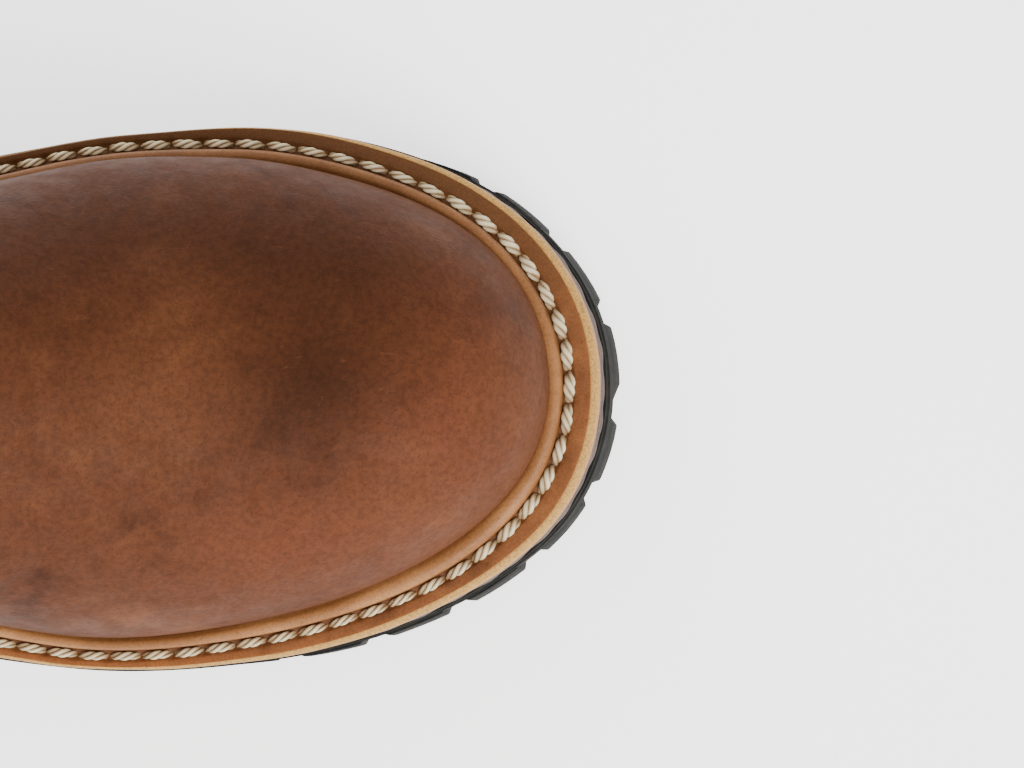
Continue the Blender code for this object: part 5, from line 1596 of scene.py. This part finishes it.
def stud_rows():
    eyelets = [THROAT + (FIRST_EYELET + EYELET_PITCH * i) / FRONT_LENGTH for i in range(EYELET_PAIRS)]
    top = 1 - TOP_HOOK / FRONT_LENGTH
    return eyelets + [mix(eyelets[-1], top, (i + 1) / HOOK_PAIRS) for i in range(HOOK_PAIRS)]


STUD_ROWS = stud_rows()


def stud_frame(row, side):
    """Centre and axes of an eyelet or hook: away from the lacing gap, up the boot, and out of the leather."""
    sigma = quarter_place(row, side, EYELET_INSET)
    normal = boot_normal(sigma, row, side)
    away = boot_point(sigma - 0.004, row, side) - boot_point(sigma, row, side)
    away -= normal * float(away @ normal)
    away /= np.linalg.norm(away)
    up = np.cross(normal, away)
    return on_boot(sigma, row, side, QUARTER_STEP), away, up if up[2] > 0 else -up, normal


def to_boot(points, frame_axes):
    centre, away, up, normal = frame_axes
    cross = np.cross(normal, away)
    points = np.asarray(points, float)
    return centre + points[..., :1] * away + points[..., 1:2] * cross + points[..., 2:] * normal


def on_each_side(kind, first, count, points, faces, sharp):
    """A piece of brass hardware at each of a run of stud rows, on both quarters."""
    for k in range(count):
        for side, label in ((LATERAL, "outer"), (MEDIAL, "inner")):
            node = f"{kind}_{label}_{k + 1}"
            placed = to_boot(points, stud_frame(STUD_ROWS[first + k], side))
            hand_in(add_mesh(node + "_piece", placed, faces, BRASS_LOOK, sharp=sharp), "hardware", node)


def turned(profile, sides, x=0.0):
    """Rings of a turned body, from (radius, height) pairs."""
    angles = round_angles(sides)
    rings = [[(x + r * math.cos(a), r * math.sin(a), h) for a in angles] for r, h in profile]
    return np.array(rings).reshape(-1, 3)


def eyelets():
    """Rolled brass eyelets with a hollow barrel."""
    sides = 40
    flange, bore, barrel, foot = EYELET_FLANGE, EYELET_BORE, EYELET_RADIUS, -0.0050
    crown = METAL + STUD_CLEARANCE
    roll_out, roll_in = flange - 0.0009, bore + 0.0007
    profile = [(flange, 0.0), (flange - 0.00005, 0.00035), (flange - 0.0004, 0.0007)]
    for t in (0, 0.3, 0.6, 0.9):
        profile.append((mix(roll_out, roll_in, t), crown - 0.0001 + 0.00022 * math.sin(math.pi * t)))
    profile += [(bore + 0.0003, crown - 0.0001), (bore + 0.00008, crown - 0.0004), (bore, crown - 0.0009),
                (bore, foot), (barrel, foot), (barrel, 0.0)]
    faces = grid_quads(len(profile), sides, closed_rows=True, closed_columns=True)
    on_each_side("eyelet", 0, EYELET_PAIRS, turned(profile, sides), faces, 55)


def spline(points, per_step):
    """A smooth line through points."""
    points = np.asarray(points, float)
    padded = np.concatenate([[2 * points[0] - points[1]], points, [2 * points[-1] - points[-2]]])
    t = np.linspace(0, 1, per_step, endpoint=False)[:, None]
    out = []
    for p0, p1, p2, p3 in zip(padded, padded[1:], padded[2:], padded[3:]):
        square, cube = 2 * p0 - 5 * p1 + 4 * p2 - p3, 3 * p1 - p0 - 3 * p2 + p3
        out.append(0.5 * (2 * p1 + (p2 - p0) * t + square * t ** 2 + cube * t ** 3))
    return np.concatenate(out + [points[-1:]])


def hooks():
    """Speed hooks: one strip of sheet brass, flat on the leather and curled back over itself, with a rivet."""
    base, high = STUD_CLEARANCE + METAL / 2, HOOK_HEIGHT
    plate, neck = HOOK_PLATE, HOOK_WIDTH / 2
    line = [    # along the strip: place, height, half width
        (plate * 1.02, base, plate * 0.42), (plate * 0.93, base, plate * 0.72), (plate * 0.6, base, plate * 0.93),
        (0.1 * plate, base, plate), (-0.35 * plate, base, plate * 0.92),
        (-0.62 * plate, base + 0.1 * METAL, plate * 0.70), (-0.80 * plate, base + 0.8 * METAL, neck),
        (-0.86 * plate, 0.40 * high, neck * 0.86), (-0.76 * plate, 0.68 * high, neck * 0.85),
        (-0.45 * plate, 0.91 * high, neck * 0.9), (0.05 * plate, 0.97 * high, neck),
        (0.55 * plate, 0.95 * high, neck), (0.88 * plate, 1.02 * high, neck * 0.93),
        (1.05 * plate, 1.10 * high, neck * 0.62),
    ]
    path = spline(line, 5)
    centre = np.stack([path[:, 0], 0 * path[:, 0], path[:, 1]], axis=-1)
    tangent = unit(np.gradient(centre, axis=0))
    normal = np.stack([-tangent[:, 2], 0 * tangent[:, 0], tangent[:, 0]], axis=-1)
    half = path[:, 2]
    t = METAL / 2
    # Columns: share of the half width, and in half thicknesses the height and how far the corner is cut in
    section = [(-1.0, 0.0, 0.0), (-1.0, -0.6, 0.12), (-1.0, -1.0, 0.5), (1.0, -1.0, -0.5), (1.0, -0.6, -0.12),
               (1.0, 0.0, 0.0), (1.0, 0.6, -0.12), (1.0, 1.0, -0.5), (-1.0, 1.0, 0.5), (-1.0, 0.6, 0.12)]
    rings = []
    for share, lift, inset in section:
        rings.append(centre + np.array([0, 1.0, 0]) * (share * half + inset * t)[:, None] + normal * lift * t)
    grid = np.array(rings).transpose(1, 0, 2)
    rows, columns = grid.shape[:2]
    faces = grid_quads(rows, columns, closed_columns=True)
    faces += end_caps(0, rows, columns)
    dome = [    # of the rivet: radius, height
        (0.0021, METAL * 0.9), (0.00195, METAL + 0.00035), (0.0014, METAL + 0.0007), (0.0006, METAL + 0.00085),
    ]
    sides, start = 20, rows * columns
    faces += grid_quads(len(dome), sides, start, closed_columns=True) + end_caps(start, len(dome), sides)
    shape = np.concatenate([grid.reshape(-1, 3), turned(dome, sides, 0.18 * plate)])
    on_each_side("hook", EYELET_PAIRS, HOOK_PAIRS, shape, faces, 50)


def over_quarter(row, side, inset, height, along):
    """A point over a quarter: inset from the lacing edge, this high over it, and this far up from the row."""
    row = row + along / FRONT_LENGTH
    return on_boot(quarter_place(row, side, inset), row, side, QUARTER_STEP + height)


def across_gap(row, share, offset):
    """A point over the tongue: share runs from the outer side's lacing edge, 0, to the inner's, 1."""
    side = MEDIAL if share > 0.5 else LATERAL
    edge = float(throat_sigma(row, side))
    u = abs(share - 0.5) * 2
    return on_boot(mix(1.0, edge, u), row, side, offset)


LACE_REST = 1.3 * LACE      # height of the cord's middle where it rests on the leather
LACE_UNDER = -WALL - QUARTER_STEP - 1.15 * LACE
HOOK_REACH = HOOK_WIDTH / 2 + 0.85 * LACE


def eyelet_spots():
    """Up through an eyelet and back over the quarter's edge. Columns: inset, height, distance up the boot."""
    return (
        (0.0045, LACE_UNDER, -0.0022), (EYELET_INSET - 0.0035, LACE_UNDER, -0.0006),
        (EYELET_INSET - 0.0004, LACE_UNDER * 0.62, 0.0), (EYELET_INSET, -0.0006, 0.0),
        (EYELET_INSET - 0.0012, LACE_REST * 0.95, 0.0004), (EYELET_INSET - 0.0042, LACE_REST * 1.25, 0.0016),
        (0.0028, LACE_REST, 0.0034),
    )


def hook_spots(last):
    """Round the outside of a hook, in from below and out above it; the last one is where the lace ends."""
    near, low = EYELET_INSET - 0.05 * HOOK_PLATE, STUD_CLEARANCE + METAL + 1.2 * LACE
    wide = HOOK_REACH
    spots = (
        (0.0015, LACE_REST, -wide - 2.0 * LACE), (near - 2.4 * LACE, low, -wide - 0.8 * LACE),
        (near - 0.4 * LACE, low, -wide), (near + 0.5 * LACE, low, -wide * 0.55), (near + 0.62 * LACE, low, 0.0),
        (near + 0.5 * LACE, low, wide * 0.55), (near - 0.4 * LACE, low, wide),
    )
    if last:
        return spots + ((near - 1.9 * LACE, low, wide + 0.4 * LACE),)
    return spots + ((near - 2.4 * LACE, low, wide + 0.8 * LACE), (0.0015, LACE_REST, wide + 2.0 * LACE))


def lace_crossing(row, following, side, leave, goes_under):
    """Across the tongue to the other side's next stud, over or under the other strand on the way."""
    arrive = 0.0030 if goes_under else HOOK_WIDTH / 2 + 2.85 * LACE
    row_a, row_b = row + (leave + 0.001) / FRONT_LENGTH, following - arrive / FRONT_LENGTH
    middle = (-0.0013 if goes_under else 0.0006) + (1.08 * LACE if side == LATERAL else -1.08 * LACE)
    near = QUARTER_STEP + LACE_REST * 0.7
    far = (LACE_UNDER + QUARTER_STEP) * 0.92 if goes_under else near
    points = []
    for t in (0.22, 0.5, 0.78):
        offset = mix(near, middle, t / 0.5 * 0.7) if t < 0.5 else mix(middle, far, (t - 0.5) / 0.5 * 1.15)
        points.append(across_gap(mix(row_a, row_b, t), t if side == LATERAL else 1 - t, offset))
    return points


def lace_path(start):
    """One strand, from the bar: across the tongue, up through the next eyelet, and so on to the top hook."""
    path = []
    side = start
    for k, row in enumerate(STUD_ROWS):
        last = k + 1 == len(STUD_ROWS)
        spots = hook_spots(last) if k >= EYELET_PAIRS else eyelet_spots() if k else ()
        path += [over_quarter(row, side, *spot) for spot in spots]
        if not last:
            leave = 0.0034 if k < EYELET_PAIRS else HOOK_REACH + 2.0 * LACE
            path += lace_crossing(row, STUD_ROWS[k + 1], side, leave, k + 1 < EYELET_PAIRS)
        side = -side
    return path


def resample(points, step):
    lengths = running_length(points)
    s = np.linspace(0, lengths[-1], int(lengths[-1] / step) + 1)
    return columns_at(s, lengths, points), float(lengths[-1])


def steady_frames(path):
    """Axes that turn as little as they can along a path."""
    tangents = unit(np.gradient(path, axis=0))
    one = np.zeros_like(path)
    one[0] = unit(np.cross(tangents[0], (0.0, 0.0, 1.0)))
    for i in range(1, len(path)):
        one[i] = unit(one[i - 1] - tangents[i] * float(one[i - 1] @ tangents[i]))
    return one, np.cross(one, tangents)


def lace_strands():
    """The bar over the lowest eyelets and down through them, and a strand from each of them to the top hooks."""
    bottom = STUD_ROWS[0]
    ends, tops = {}, {}
    for side in (LATERAL, MEDIAL):
        down = (
            (EYELET_INSET - 0.0009, 1.15 * LACE, 0.0), (EYELET_INSET, -0.0012, 0.0),
            (EYELET_INSET - 0.0004, -0.0052, 0.0), (EYELET_INSET - 0.0040, -0.0064, 0.0012),
        )
        top = (EYELET_INSET - 0.0042, 1.6 * LACE, 0.0), (0.002, 1.25 * LACE, -0.0004)
        ends[side] = [over_quarter(bottom, side, *spot) for spot in down]
        tops[side] = [over_quarter(bottom, side, *spot) for spot in top]
    middle = [across_gap(bottom - 0.001, 0.5, -0.0006)]
    strands = [ends[LATERAL][::-1] + tops[LATERAL] + middle + tops[MEDIAL][::-1] + ends[MEDIAL]]
    for side in (LATERAL, MEDIAL):
        first = (EYELET_INSET - 0.0040, LACE_UNDER, 0.0012), (0.0030, LACE_UNDER, 0.0026)
        strands.append([over_quarter(bottom, side, *spot) for spot in first] + lace_path(side))
    return strands


def lace():
    """The lace as one mesh, with UVs along and round it."""
    sides, total, start = 14, 0.0, 0
    points, faces, uvs = [], [], []
    for strand in lace_strands():
        path, length = resample(spline(strand, 14), 0.0009)
        total += length
        points.append(rings_round(path, steady_frames(path), LACE, sides).reshape(-1, 3))
        faces += grid_quads(len(path), sides, start, closed_columns=True) + end_caps(start, len(path), sides)
        along, turn = np.meshgrid(np.arange(len(path)) * 0.45, np.arange(sides) / sides * 4.0, indexing="ij")
        uvs.append(np.stack([along.ravel(), turn.ravel()], axis=-1))
        start += len(points[-1])
    obj = add_mesh("lace_piece", np.concatenate(points), faces, LACE_LOOK, sharp=60)
    lay_uvs(obj.data, np.concatenate(uvs))
    print("lace length", round(total, 4))
    return hand_in(obj, "waxed_cord", "lace")


def floor_and_light():
    look = Look("floor_look", (0.93, 0.93, 0.93), 0.9)
    haze = look.ramp(look.noise(180.0, 2.0), (0.3, (0.92, 0.92, 0.92)), (0.7, (0.95, 0.95, 0.95)))
    material = look.finish(haze, 0.9, look.bump(look.noise(2.0, 3.0), 0.02, 0.2), Specular_IOR_Level=0.2,
                           Emission_Color=(1.0, 1.0, 1.0), Emission_Strength=1.5)
    size = 12.0
    corners = [(-size, -size, 0), (size, -size, 0), (size, size, 0), (-size, size, 0)]
    floor = add_mesh("floor", corners, [[0, 1, 2, 3]], material)
    world = bpy.data.worlds.new("studio")
    world.use_nodes = True
    sky = world.node_tree.nodes["Background"]
    sky.inputs["Color"].default_value = (1.0, 1.0, 1.0, 1.0)
    sky.inputs["Strength"].default_value = 0.95
    bpy.context.scene.world = world
    lights = (
        ("key", (0.75, -0.75, 0.95), 0.9, 28.0, (1.0, 0.985, 0.96)),
        ("fill", (-0.7, 0.5, 0.9), 1.2, 6.5, (0.97, 0.985, 1.0)),
        ("back", (-0.3, 0.9, 0.5), 0.8, 2.5, (1.0, 1.0, 1.0)),
    )
    target = Vector((0.16, 0.0, 0.04))
    for name, place, size, power, colour in lights:
        data = bpy.data.lights.new(name, "AREA")
        data.shape = "DISK"
        data.size = size
        data.energy = power
        data.color = colour
        lamp = link(name, data)
        lamp.location = Vector(place)
        lamp.rotation_euler = (target - Vector(place)).to_track_quat("-Z", "Y").to_euler()


def photo_camera():
    """Straight over the toe, leaning a little to the outer side, at the photo's framing."""
    tilt = math.radians(1.8)
    distance = 1.0
    target = Vector((0.2423, 0.0010, 0.025))
    data = bpy.data.cameras.new("photo_camera")
    data.lens = 169.5
    data.sensor_width = 36.0
    data.clip_end = 20.0
    camera = link("photo_camera", data)
    camera.rotation_euler = (tilt, 0.0, 0.0)
    camera.location = target + Vector((0.0, -math.sin(tilt), math.cos(tilt))) * distance
    bpy.context.scene.camera = camera


photo_camera()
vamp()
quarters()
linings()
counter_and_backstay()
tongue()
storm_welt()
welt_stitches()
upper_stitching()
midsole_and_insole()
outsole()
heel()
eyelets()
hooks()
lace()
floor_and_light()
